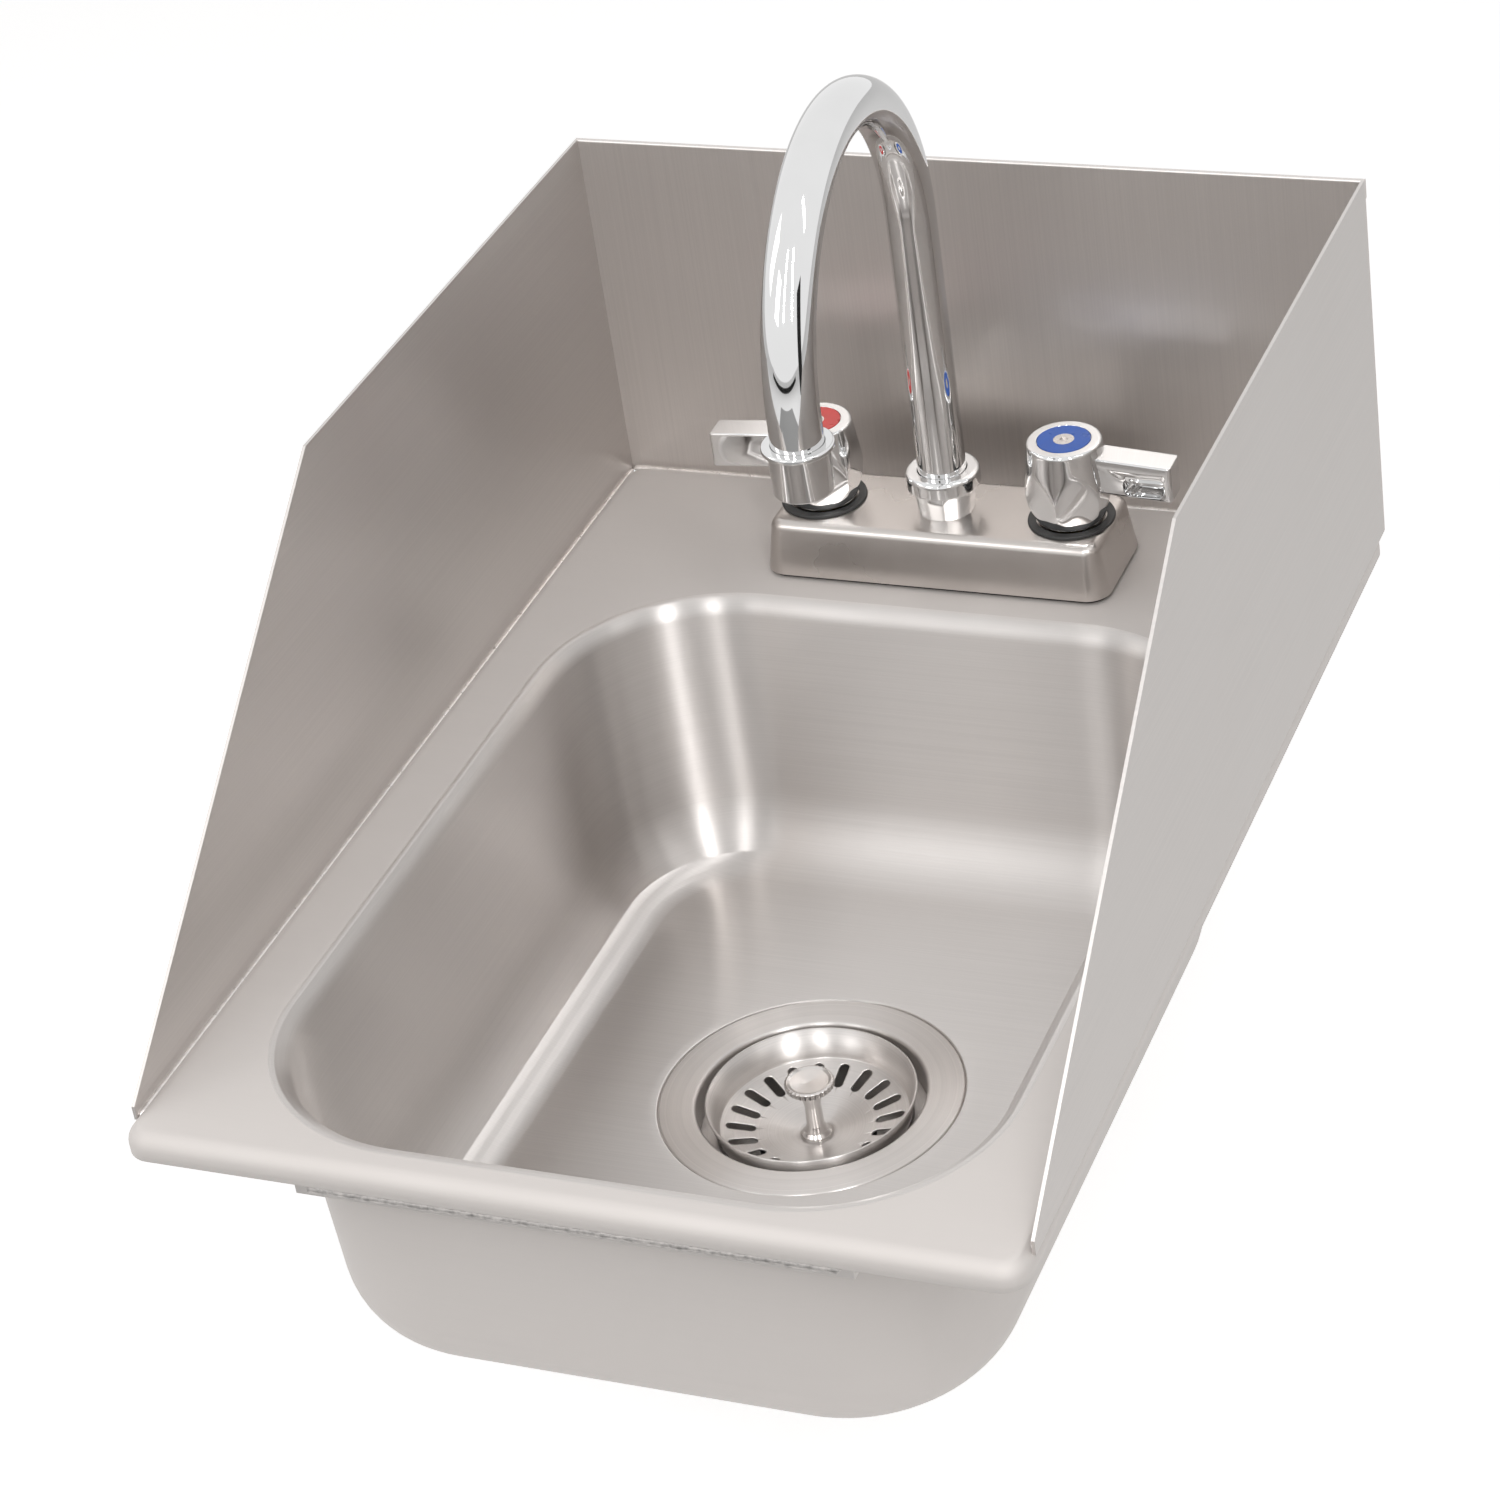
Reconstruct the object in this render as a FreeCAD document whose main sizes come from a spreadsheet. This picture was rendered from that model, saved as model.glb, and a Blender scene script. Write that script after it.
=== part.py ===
import FreeCAD, Part
import math
import os
from types import SimpleNamespace

import Sketcher

# Drop-in hand sink in brushed stainless sheet: a drawn bowl in a rimmed deck, splash guards on three
# sides, a two-handle gooseneck faucet on the rear ledge and a basket strainer in the floor.
# Millimetres. +X is to the user's right, +Y to the back, +Z up. The origin is the middle of the
# rim on the counter top, so everything that passes down through the cut-out is below zero.

SIZES = {
    # Sheet metal
    "sheet_thickness": 1.2,
    "deck_width": 318.0,
    "deck_depth": 446.0,
    "deck_corner": 10.0,
    "rim_height": 9.0,
    "edge_roll": 6.0,
    "side_ledge": 32.0,
    "rear_ledge": 95.0,
    "bowl_setback": 18.0,
    "bowl_corner": 62.0,
    "bowl_draft": 3.0,
    "bowl_depth": 112.0,
    "bowl_floor_round": 28.0,
    "bowl_rim_roll": 7.0,
    "splash_height": 147.0,
    "splash_sink": 3.0,
    "splash_top_length": 241.0,
    "splash_tip_setback": 13.0,
    "splash_tip_height": 2.5,
    "hem_height": 8.0,
    "rail_length": 198.0,
    "rail_setback": 8.0,
    "rail_drop": 11.0,
    "rail_lip": 6.5,
    "rail_thickness": 2.0,
    # Faucet body
    "faucet_setback": 51.0,
    "faucet_spacing": 101.6,
    "faucet_hole_radius": 12.7,
    "gasket_thickness": 1.5,
    "base_length": 140.0,
    "base_width": 50.0,
    "base_height": 21.5,
    "base_draft": 9.0,
    "base_corner": 9.0,
    "base_round": 4.0,
    "shank_radius": 10.4,
    "shank_bore": 7.0,
    "shank_drop": 55.0,
    "inlet_radius": 10.2,
    "inlet_length": 40.0,
    "shank_socket": 6.5,
    "washer_radius": 17.0,
    "washer_thickness": 2.0,
    "locknut_flats": 29.0,
    "locknut_height": 8.0,
    "valve_radius": 11.5,
    "valve_depth": 14.0,
    "bonnet_radius": 9.5,
    "bonnet_height": 6.0,
    "skirt_radius": 17.5,
    "skirt_height": 2.2,
    "fit_clearance": 0.05,
    "loose_clearance": 0.4,
    # Handles
    "stem_radius": 4.0,
    "stem_height": 26.0,
    "hub_height": 32.0,
    "hub_top_radius": 14.5,
    "hub_wide_radius": 17.7,
    "hub_wide_height": 8.5,
    "hub_wide_round": 4.0,
    "hub_flat": 13.2,
    "hub_flat_height": 21.0,
    "hub_flat_lean": 2.5,
    "index_radius": 10.2,
    "index_thickness": 1.2,
    "screw_head_radius": 4.0,
    "screw_radius": 1.5,
    "lever_length": 43.0,
    "lever_width": 12.0,
    "lever_depth": 14.5,
    "lever_top_drop": 4.0,
    "lever_slope": 2.5,
    "lever_wall": 3.0,
    "lever_band": 5.4,
    "lever_rim": 1.8,
    "recess_end_wall": 2.8,
    "recess_length": 16.0,
    "recess_corner": 2.4,
    "lever_tip_round": 1.6,
    # Spout
    "spout_radius": 9.5,
    "spout_wall": 1.3,
    "spout_arch_radius": 75.0,
    "spout_arch_height": 157.0,
    "spout_turn": 4.0,
    "spout_tail_radius": 8.3,
    "spout_tail_length": 13.0,
    "nut_height": 18.0,
    "nut_radius": 12.7,
    "nut_flat": 10.9,
    "nut_taper": 1.4,
    "nut_ring_radius": 14.6,
    "nut_ring_height": 7.0,
    "nut_ring_round": 2.0,
    "aerator_height": 19.0,
    "aerator_radius": 11.1,
    "aerator_lip_radius": 13.0,
    "aerator_lip_height": 2.6,
    "aerator_round": 1.0,
    "screen_inset": 1.0,
    "screen_thickness": 2.0,
    "outlet_drop": 28.0,
    # Drain
    "drain_offset": 13.5,
    "drain_hole_radius": 45.0,
    "recess_depth": 2.0,
    "flange_radius": 57.15,
    "flange_thickness": 1.8,
    "throat_radius": 42.8,
    "throat_round": 3.5,
    "neck_radius": 44.4,
    "neck_length": 30.0,
    "cup_radius": 36.5,
    "cup_depth": 36.0,
    "cup_round": 6.0,
    "outlet_bore": 20.0,
    "outlet_radius": 23.8,
    "outlet_length": 22.0,
    "seal_thickness": 3.0,
    "friction_thickness": 1.0,
    "drain_nut_radius": 53.0,
    "drain_nut_height": 9.0,
    "tail_radius": 19.05,
    "tail_wall": 1.0,
    "tail_length": 54.0,
    "shoulder_length": 4.0,
    "coupling_radius": 28.5,
    "coupling_height": 19.5,
    # Basket
    "basket_radius": 40.5,
    "basket_rise": 0.6,
    "basket_wall_depth": 12.0,
    "basket_floor_radius": 36.2,
    "basket_dish": 7.0,
    "basket_thickness": 0.9,
    "slot_inner_radius": 22.5,
    "slot_outer_radius": 33.5,
    "slot_width": 3.8,
    "post_radius": 3.0,
    "post_rise": 21.0,
    "post_head_radius": 4.4,
    "post_head_height": 5.0,
    "knob_radius": 9.4,
    "knob_height": 4.4,
    "knob_bevel": 1.0,
    "stopper_radius": 22.0,
    "stopper_thickness": 4.6,
}
HUB_SIDES = 6
NUT_SIDES = 12
LOCKNUT_SIDES = 6
BASKET_SLOTS = 20
KNOB_NOTCHES = 24
DRAIN_NUT_LUGS = 8
COUPLING_RIBS = 8


class Size:
    """A number together with the sheet formula that it is worked out from."""

    def __init__(self, number, formula):
        self.number = float(number)
        self.formula = formula

    def __float__(self):
        return self.number

    def __add__(self, other):
        return Size(self.number + float(other), f"({self.formula} + {formula_of(other)})")

    def __sub__(self, other):
        return Size(self.number - float(other), f"({self.formula} - {formula_of(other)})")

    def __rsub__(self, other):
        return Size(float(other) - self.number, f"({formula_of(other)} - {self.formula})")

    def __mul__(self, other):
        return Size(self.number * float(other), f"({self.formula} * {formula_of(other)})")

    def __truediv__(self, other):
        return Size(self.number / float(other), f"({self.formula} / {formula_of(other)})")

    def __neg__(self):
        return Size(-self.number, f"(-{self.formula})")

    __radd__ = __add__
    __rmul__ = __mul__


def formula_of(length):
    """The text that stands for a size, or for a plain number, in a sheet formula."""
    return length.formula if isinstance(length, Size) else str(float(length))


def write_sheet(document):
    """Fills the sheet with the driving dimensions and hands them back as sizes by name."""
    sheet = document.addObject("Spreadsheet::Sheet", "Sizes")
    for row, (name, number) in enumerate(SIZES.items(), start=1):
        sheet.set(f"A{row}", name)
        sheet.set(f"B{row}", str(number))
        sheet.setAlias(f"B{row}", name)
    document.recompute()
    return SimpleNamespace(**{name: Size(number, f"Sizes.{name}") for name, number in SIZES.items()})


doc = FreeCAD.newDocument("DropInSink")
s = write_sheet(doc)
sub_parts = []

# Places that several pieces share
deck_front = -s.deck_depth / 2
deck_back = s.deck_depth / 2
deck_side = s.deck_width / 2
deck_top = s.rim_height
deck_under = s.rim_height - s.sheet_thickness
bowl_width = s.deck_width - s.side_ledge * 2
bowl_length = s.deck_depth - s.bowl_setback - s.rear_ledge
bowl_y = deck_front + s.bowl_setback + bowl_length / 2
floor_z = deck_top - s.bowl_depth
splash_foot = s.rim_height - s.splash_sink
splash_top = deck_top + s.splash_height
splash_back = deck_back - s.sheet_thickness
faucet_y = deck_back - s.faucet_setback
valve_x = s.faucet_spacing / 2
base_foot = deck_top + s.gasket_thickness
base_top = base_foot + s.base_height
aerator_foot = s.spout_arch_height - s.outlet_drop
drain_y = bowl_y + s.drain_offset
flange_top = floor_z - s.recess_depth + s.flange_thickness
basket_ledge = s.basket_wall_depth - s.basket_rise + s.basket_thickness + s.loose_clearance
recess_radius = s.flange_radius + s.loose_clearance


def tie(thing, path, length):
    """Binds a property to a size's formula."""
    thing.setExpression(path, formula_of(length))


def new_body(label, x=0.0, y=0.0, z=0.0, turn=0.0):
    """An empty body at a place, turned by so many degrees about the vertical."""
    body = doc.addObject("PartDesign::Body", label)
    body.Label = label
    spot = FreeCAD.Vector(float(x), float(y), float(z))
    body.Placement = FreeCAD.Placement(spot, FreeCAD.Rotation(FreeCAD.Vector(0, 0, 1), float(turn)))
    if isinstance(turn, Size):
        tie(body, "Placement.Rotation.Angle", turn)
    for axis, length in zip("xyz", (x, y, z)):
        tie(body, f"Placement.Base.{axis}", length)
    sub_parts.append(body)
    return body


def arm_end(reach, turn):
    """Where an arm ends that points to the front and is turned by so many degrees about the vertical."""
    angle = math.radians(float(turn))
    right = Size(float(reach) * math.sin(angle), f"({formula_of(reach)} * sin({formula_of(turn)}))")
    front = Size(float(reach) * math.cos(angle), f"({formula_of(reach)} * cos({formula_of(turn)}))")
    return right, -front


def origin_feature(body, role):
    """The body's own origin plane or axis of that role."""
    return next(feature for feature in body.Origin.OriginFeatures if feature.Role == role)


def sketch_on(body, role, lift=0.0):
    """A sketch on one of the body's origin planes, raised along the plane's normal."""
    sketch = body.newObject("Sketcher::SketchObject", "Sketch")
    sketch.AttachmentSupport = [(origin_feature(body, role), "")]
    sketch.MapMode = "FlatFace"
    tie(sketch, "AttachmentOffset.Base.z", lift)
    return sketch


def pin_down(sketch, geometry, point, x, y):
    """Holds one point of the sketch at two sizes from the sketch origin."""
    for kind, length in (("DistanceX", x), ("DistanceY", y)):
        index = sketch.addConstraint(Sketcher.Constraint(kind, -1, 1, geometry, point, float(length)))
        tie(sketch, f"Constraints[{index}]", length)


def circle(sketch, radius, x=0.0, y=0.0):
    """A circle of a size about a point of the sketch."""
    middle = FreeCAD.Vector(float(x), float(y), 0)
    ring = sketch.addGeometry(Part.Circle(middle, FreeCAD.Vector(0, 0, 1), float(radius)))
    index = sketch.addConstraint(Sketcher.Constraint("Radius", ring, float(radius)))
    tie(sketch, f"Constraints[{index}]", radius)
    pin_down(sketch, ring, 3, x, y)


def corner_arc(spot, before, after, radius):
    """The arc that rounds a corner, and its two tangent points, on the side before and the side after."""
    into = (before - spot).normalize()
    out = (after - spot).normalize()
    half = into.getAngle(out) / 2
    arrive = spot + into * (radius / math.tan(half))
    leave = spot + out * (radius / math.tan(half))
    middle = spot + (into + out).normalize() * (radius / math.sin(half))
    left_turn = (-into).cross(out).z > 0
    first, last = (arrive, leave) if left_turn else (leave, arrive)
    start = math.atan2(first.y - middle.y, first.x - middle.x)
    end = math.atan2(last.y - middle.y, last.x - middle.x)
    end += 2 * math.pi if end < start else 0
    arc = Part.ArcOfCircle(Part.Circle(middle, FreeCAD.Vector(0, 0, 1), radius), start, end)
    return arc, arrive, leave, left_turn


def outline(sketch, corners):
    """A closed outline through corners (x, y), or (x, y, radius) where the corner is rounded."""
    count = len(corners)
    spots = [FreeCAD.Vector(float(corner[0]), float(corner[1]), 0) for corner in corners]
    arrivals = list(spots)
    departures = list(spots)
    arcs = {}
    for i, corner in enumerate(corners):
        if len(corner) == 3:
            after = spots[(i + 1) % count]
            radius = float(corner[2])
            arc, arrivals[i], departures[i], left_turn = corner_arc(spots[i], spots[i - 1], after, radius)
            arcs[i] = (arc, left_turn)
    following = arrivals[1:] + arrivals[:1]
    lines = [sketch.addGeometry(Part.LineSegment(a, b)) for a, b in zip(departures, following)]
    for i, corner in enumerate(corners):
        line_in, line_out = lines[i - 1], lines[i]
        if i not in arcs:
            sketch.addConstraint(Sketcher.Constraint("Coincident", line_in, 2, line_out, 1))
            pin_down(sketch, line_out, 1, corner[0], corner[1])
            continue
        arc, left_turn = arcs[i]
        bend = sketch.addGeometry(arc)
        first, last = (1, 2) if left_turn else (2, 1)
        sketch.addConstraint(Sketcher.Constraint("Tangent", line_in, 2, bend, first))
        sketch.addConstraint(Sketcher.Constraint("Tangent", bend, last, line_out, 1))
        index = sketch.addConstraint(Sketcher.Constraint("Radius", bend, float(corner[2])))
        tie(sketch, f"Constraints[{index}]", corner[2])
        apex = sketch.addGeometry(Part.Point(spots[i]), True)
        sketch.addConstraint(Sketcher.Constraint("PointOnObject", apex, 1, line_in))
        sketch.addConstraint(Sketcher.Constraint("PointOnObject", apex, 1, line_out))
        pin_down(sketch, apex, 1, corner[0], corner[1])


def rounded_rectangle(sketch, width, depth, radius, y=0.0):
    """A rectangle with rounded corners, centred on the sketch's upright axis."""
    half, front, back = width / 2, y - depth / 2, y + depth / 2
    outline(sketch, [(-half, front, radius), (half, front, radius),
                     (half, back, radius), (-half, back, radius)])


def pad(body, sketch, length, downward=False, draft=None):
    """Raises a sketch by a length, or lowers it, with sides that lean in by the draft."""
    feature = body.newObject("PartDesign::Pad", "Pad")
    feature.Profile = sketch
    feature.Reversed = downward
    tie(feature, "Length", length)
    if draft is not None:
        tie(feature, "TaperAngle", -draft)
    return feature


def pocket(body, sketch, depth, upward=False, draft=None):
    """Cuts a sketch into the body by a depth, with sides that lean in by the draft."""
    feature = body.newObject("PartDesign::Pocket", "Pocket")
    feature.Profile = sketch
    feature.Reversed = upward
    tie(feature, "Length", depth)
    if draft is not None:
        tie(feature, "TaperAngle", -draft)
    return feature


def round_edges(body, radius, chosen):
    """Rounds the edges of the body's last feature that the test picks."""
    doc.recompute()
    base = body.Tip
    names = [f"Edge{n}" for n, edge in enumerate(base.Shape.Edges, start=1) if chosen(edge)]
    feature = body.newObject("PartDesign::Fillet", "Round")
    feature.Base = (base, names)
    tie(feature, "Radius", radius)
    return feature


def repeat_round(body, feature, count):
    """Repeats a feature evenly about the body's vertical axis."""
    pattern = body.newObject("PartDesign::PolarPattern", "Ring")
    pattern.Originals = [feature]
    pattern.Axis = (origin_feature(body, "Z_Axis"), [""])
    pattern.Angle = 360.0
    pattern.Occurrences = count
    body.Tip = pattern
    return pattern


def level_at(edge, height):
    """True where an edge lies flat at a height."""
    box = edge.BoundBox
    return abs(box.ZMin - float(height)) < 1e-4 and abs(box.ZMax - float(height)) < 1e-4


def turned(label, profile, **place):
    """A turned piece: a profile of (radius, height) corners carried round the vertical."""
    body = new_body(label, **place)
    sketch = sketch_on(body, "XZ_Plane")
    outline(sketch, profile)
    turning = body.newObject("PartDesign::Revolution", "Turned")
    turning.Profile = sketch
    turning.ReferenceAxis = (sketch, ["V_Axis"])
    turning.Angle = 360.0
    return body


def cut_flats(body, count, flat, bottom, top, lean=0.0):
    """Cuts flats round a turned piece, each leaning out by so much from the bottom to the top."""
    reach = flat * 2
    sketch = sketch_on(body, "XZ_Plane", -reach)
    outline(sketch, [(flat, bottom), (reach, bottom), (reach, top), (flat + lean, top)])
    cut = pocket(body, sketch, reach * 2)
    cut.Reversed = True
    repeat_round(body, cut, count)


def make_sink_bowl():
    """The drawn sheet: a deck with a turned-down edge, and the bowl that hangs from it."""
    body = new_body("sink_bowl")
    wall = s.sheet_thickness
    deck = sketch_on(body, "XY_Plane")
    rounded_rectangle(deck, s.deck_width, s.deck_depth, s.deck_corner)
    pad(body, deck, s.rim_height)
    hollow = sketch_on(body, "XY_Plane")
    rounded_rectangle(hollow, s.deck_width - wall * 2, s.deck_depth - wall * 2, s.deck_corner - wall)
    pocket(body, hollow, deck_under, upward=True)
    round_edges(body, s.edge_roll - wall, lambda edge: level_at(edge, deck_under))
    round_edges(body, s.edge_roll, lambda edge: level_at(edge, s.rim_height))

    def in_bowl(edge):
        box = edge.BoundBox
        spare = float(wall) * 1.5
        front, back = float(bowl_y - bowl_length / 2) - spare, float(bowl_y + bowl_length / 2) + spare
        wide = max(abs(box.XMin), abs(box.XMax)) < float(bowl_width) / 2 + spare
        return wide and box.YMin > front and box.YMax < back

    outside = sketch_on(body, "XY_Plane", deck_top)
    rounded_rectangle(outside, bowl_width + wall * 2, bowl_length + wall * 2, s.bowl_corner + wall, bowl_y)
    pad(body, outside, s.bowl_depth + wall, downward=True, draft=s.bowl_draft)
    inside = sketch_on(body, "XY_Plane", deck_top)
    rounded_rectangle(inside, bowl_width, bowl_length, s.bowl_corner, bowl_y)
    pocket(body, inside, s.bowl_depth, draft=s.bowl_draft)
    round_edges(body, s.bowl_floor_round, lambda edge: level_at(edge, floor_z))
    round_edges(body, s.bowl_floor_round + wall, lambda edge: level_at(edge, floor_z - wall))
    round_edges(body, s.bowl_rim_roll - wall, lambda edge: level_at(edge, deck_under) and in_bowl(edge))
    round_edges(body, s.bowl_rim_roll, lambda edge: level_at(edge, deck_top) and in_bowl(edge))
    boss = sketch_on(body, "XY_Plane", floor_z - wall)
    circle(boss, recess_radius + wall, y=drain_y)
    pad(body, boss, s.recess_depth, downward=True)
    recess = sketch_on(body, "XY_Plane", floor_z)
    circle(recess, recess_radius, y=drain_y)
    pocket(body, recess, s.recess_depth)
    drain_hole = sketch_on(body, "XY_Plane", floor_z)
    circle(drain_hole, s.drain_hole_radius, y=drain_y)
    pocket(body, drain_hole, s.recess_depth + wall * 2)
    faucet_holes = sketch_on(body, "XY_Plane", deck_top)
    for x in (-valve_x, valve_x):
        circle(faucet_holes, s.faucet_hole_radius, x, faucet_y)
    pocket(body, faucet_holes, wall * 2)
    seats = sketch_on(body, "XY_Plane", splash_foot)
    tip, beyond = deck_front + s.splash_tip_setback, deck_back + wall
    inner, outer = deck_side - wall, deck_side + wall
    outline(seats, [(-outer, tip), (-inner, tip), (-inner, splash_back), (inner, splash_back), (inner, tip),
                    (outer, tip), (outer, beyond), (-outer, beyond)])
    pocket(body, seats, s.splash_sink * 2, upward=True)


def make_splash_guards():
    """Three sheet panels that stand in the deck's edge: two with a sloped front, and a hemmed back one."""
    tip = deck_front + s.splash_tip_setback
    bend = splash_back - s.splash_top_length
    side = [(tip, splash_foot), (splash_back, splash_foot), (splash_back, splash_top),
            (bend, splash_top), (tip, deck_top + s.splash_tip_height)]
    for label, x in (("left_splash", -deck_side), ("right_splash", deck_side - s.sheet_thickness)):
        panel = new_body(label, x=x)
        sketch = sketch_on(panel, "YZ_Plane")
        outline(sketch, side)
        pad(panel, sketch, s.sheet_thickness)
    back = new_body("back_splash", x=-deck_side)
    sketch = sketch_on(back, "YZ_Plane")
    hem_back = deck_back + s.sheet_thickness
    hem_foot = splash_top - s.hem_height
    fold = s.sheet_thickness * 0.8
    outline(sketch, [(splash_back, splash_foot), (deck_back, splash_foot), (deck_back, hem_foot),
                     (hem_back, hem_foot), (hem_back, splash_top, fold), (splash_back, splash_top, fold)])
    pad(back, sketch, s.deck_width)


def make_rails():
    """The channels under the rim that the counter clips hook into, in front and at both sides."""
    places = {
        "front_rail": dict(y=deck_front),
        "left_rail": dict(x=-deck_side, y=bowl_y, turn=-90.0),
        "right_rail": dict(x=deck_side, y=bowl_y, turn=90.0),
    }
    near, leg = s.rail_setback, s.rail_setback + s.rail_thickness
    lip = s.rail_setback + s.rail_lip
    for label, place in places.items():
        rail = new_body(label, **place)
        sketch = sketch_on(rail, "YZ_Plane", -s.rail_length / 2)
        outline(sketch, [(near, -s.rail_drop), (lip, -s.rail_drop), (lip, s.rail_thickness - s.rail_drop),
                         (leg, s.rail_thickness - s.rail_drop), (leg, deck_under), (near, deck_under)])
        pad(rail, sketch, s.rail_length)


def make_faucet_base():
    """The cast body on the rear ledge, drafted on all sides, with its gasket."""
    body = new_body("faucet_base", y=faucet_y, z=base_foot)
    foot = sketch_on(body, "XY_Plane")
    rounded_rectangle(foot, s.base_length, s.base_width, s.base_corner)
    pad(body, foot, s.base_height, draft=s.base_draft)
    round_edges(body, s.base_round, lambda edge: level_at(edge, s.base_height))
    bores = sketch_on(body, "XY_Plane", s.base_height)
    for x in (-valve_x, valve_x):
        circle(bores, s.valve_radius + s.fit_clearance, x)
    pocket(body, bores, s.valve_depth)
    socket = sketch_on(body, "XY_Plane", s.base_height)
    circle(socket, s.spout_radius + s.fit_clearance)
    pocket(body, socket, s.spout_tail_length + s.gasket_thickness * 2)
    inlets = sketch_on(body, "XY_Plane")
    for x in (-valve_x, valve_x):
        circle(inlets, s.shank_radius + s.fit_clearance, x)
    pocket(body, inlets, s.shank_socket, upward=True)

    gasket = new_body("base_gasket", y=faucet_y, z=deck_top)
    sheet = sketch_on(gasket, "XY_Plane")
    margin = s.gasket_thickness * 2
    corner = s.base_corner - s.gasket_thickness
    rounded_rectangle(sheet, s.base_length - margin, s.base_width - margin, corner)
    pad(gasket, sheet, s.gasket_thickness)
    holes = sketch_on(gasket, "XY_Plane")
    for x in (-valve_x, valve_x):
        circle(holes, s.shank_radius + s.loose_clearance, x)
    pocket(gasket, holes, s.gasket_thickness, upward=True)


def make_inlet(name, x):
    """One water inlet under the ledge: the shank, its washer and its locknut."""
    top = base_foot + s.shank_socket
    bore, outside = s.shank_bore, s.shank_radius
    thread_top = s.inlet_length - s.shank_drop
    inlet = s.inlet_radius
    turned(f"{name}_shank", [(bore, -s.shank_drop), (inlet, -s.shank_drop), (inlet, thread_top),
                             (outside, thread_top), (outside, top), (bore, top)], x=x, y=faucet_y)
    hole = s.shank_radius + s.loose_clearance
    washer_foot = deck_under - s.washer_thickness
    turned(f"{name}_washer", [(hole, washer_foot), (s.washer_radius, washer_foot),
                              (s.washer_radius, deck_under), (hole, deck_under)], x=x, y=faucet_y)
    thread = s.shank_radius + s.fit_clearance
    nut_foot = washer_foot - s.locknut_height
    corner = s.locknut_flats * 0.56
    nut = turned(f"{name}_locknut", [(thread, nut_foot), (corner, nut_foot), (corner, washer_foot),
                                     (thread, washer_foot)], x=x, y=faucet_y)
    cut_flats(nut, LOCKNUT_SIDES, s.locknut_flats / 2, nut_foot, washer_foot)


def make_handle(name, x, turn):
    """One valve with its stem, and the handle on it: a flaring hub with six flats and a lever blade."""
    place = dict(x=x, y=faucet_y, z=base_top)
    bore = s.stem_radius + s.fit_clearance
    turned(f"{name}_valve", [(bore, -s.valve_depth), (s.valve_radius, -s.valve_depth), (s.valve_radius, 0.0),
                             (s.bonnet_radius, 0.0), (s.bonnet_radius, s.bonnet_height),
                             (bore, s.bonnet_height)], **place)
    skirt_hole = s.hub_flat + s.loose_clearance
    turned(f"{name}_skirt_ring", [(skirt_hole, 0.0), (s.skirt_radius, 0.0), (s.skirt_radius, s.skirt_height),
                                  (skirt_hole, s.skirt_height)], **place)
    tapping = s.screw_radius + s.fit_clearance
    tapped = s.stem_height / 2
    stem_foot = s.stem_radius - s.valve_depth
    turned(f"{name}_stem", [(0.0, stem_foot), (s.stem_radius, stem_foot), (s.stem_radius, s.stem_height),
                            (tapping, s.stem_height), (tapping, tapped), (0.0, tapped)], **place)

    hub_foot = s.skirt_height + s.loose_clearance
    hub_top = hub_foot + s.hub_height
    seat = hub_top - s.index_thickness
    web = s.stem_height + s.loose_clearance
    roof = s.bonnet_height * 2
    cavity = s.bonnet_radius + s.loose_clearance * 2
    recess = s.index_radius + s.fit_clearance
    handle = turned(f"{name}_handle", [
        (cavity, hub_foot), (s.hub_flat, hub_foot),
        (s.hub_wide_radius, hub_foot + s.hub_wide_height, s.hub_wide_round),
        (s.hub_top_radius, hub_top, s.index_thickness), (recess, hub_top), (recess, seat), (tapping, seat),
        (tapping, web), (bore, web), (bore, roof), (cavity, roof)], turn=turn, **place)
    cut_flats(handle, HUB_SIDES, s.hub_flat, hub_foot, hub_foot + s.hub_flat_height, s.hub_flat_lean)
    lever_top = hub_top - s.lever_top_drop
    tip_top = lever_top - s.lever_slope
    root = cavity + s.loose_clearance
    side = sketch_on(handle, "XZ_Plane", -s.lever_width / 2)
    outline(side, [(root, lever_top - s.lever_depth), (s.lever_length, tip_top - s.lever_depth),
                   (s.lever_length, tip_top), (root, lever_top)])
    blade = pad(handle, side, s.lever_width)
    blade.Reversed = False

    def at_tip(edge):
        box = edge.BoundBox
        return abs(box.XMin - float(s.lever_length)) < 1e-4

    tall = float(s.lever_depth) / 2
    round_edges(handle, s.lever_tip_round, lambda edge: at_tip(edge) and edge.BoundBox.ZLength > tall)
    hollow = sketch_on(handle, "XZ_Plane", s.lever_width / 2)
    end, corner = s.lever_length - s.recess_end_wall, s.recess_corner
    start = end - s.recess_length
    low, high = tip_top - s.lever_depth + s.lever_rim, tip_top - s.lever_band
    outline(hollow, [(start, low, corner), (end, low, corner), (end, high, corner), (start, high, corner)])
    pocket(handle, hollow, s.lever_width - s.lever_wall)

    turned(f"{name}_index", [(s.screw_head_radius + s.fit_clearance, seat), (s.index_radius, seat),
                             (s.index_radius, hub_top), (s.screw_head_radius + s.fit_clearance, hub_top)],
           **place)
    screw_foot = tapped + s.loose_clearance
    turned(f"{name}_screw", [(0.0, screw_foot), (s.screw_radius, screw_foot), (s.screw_radius, seat),
                             (s.screw_head_radius, seat), (s.screw_head_radius, hub_top),
                             (s.screw_radius, hub_top), (s.screw_radius, hub_top - s.index_thickness / 2),
                             (0.0, hub_top - s.index_thickness / 2)], **place)


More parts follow.
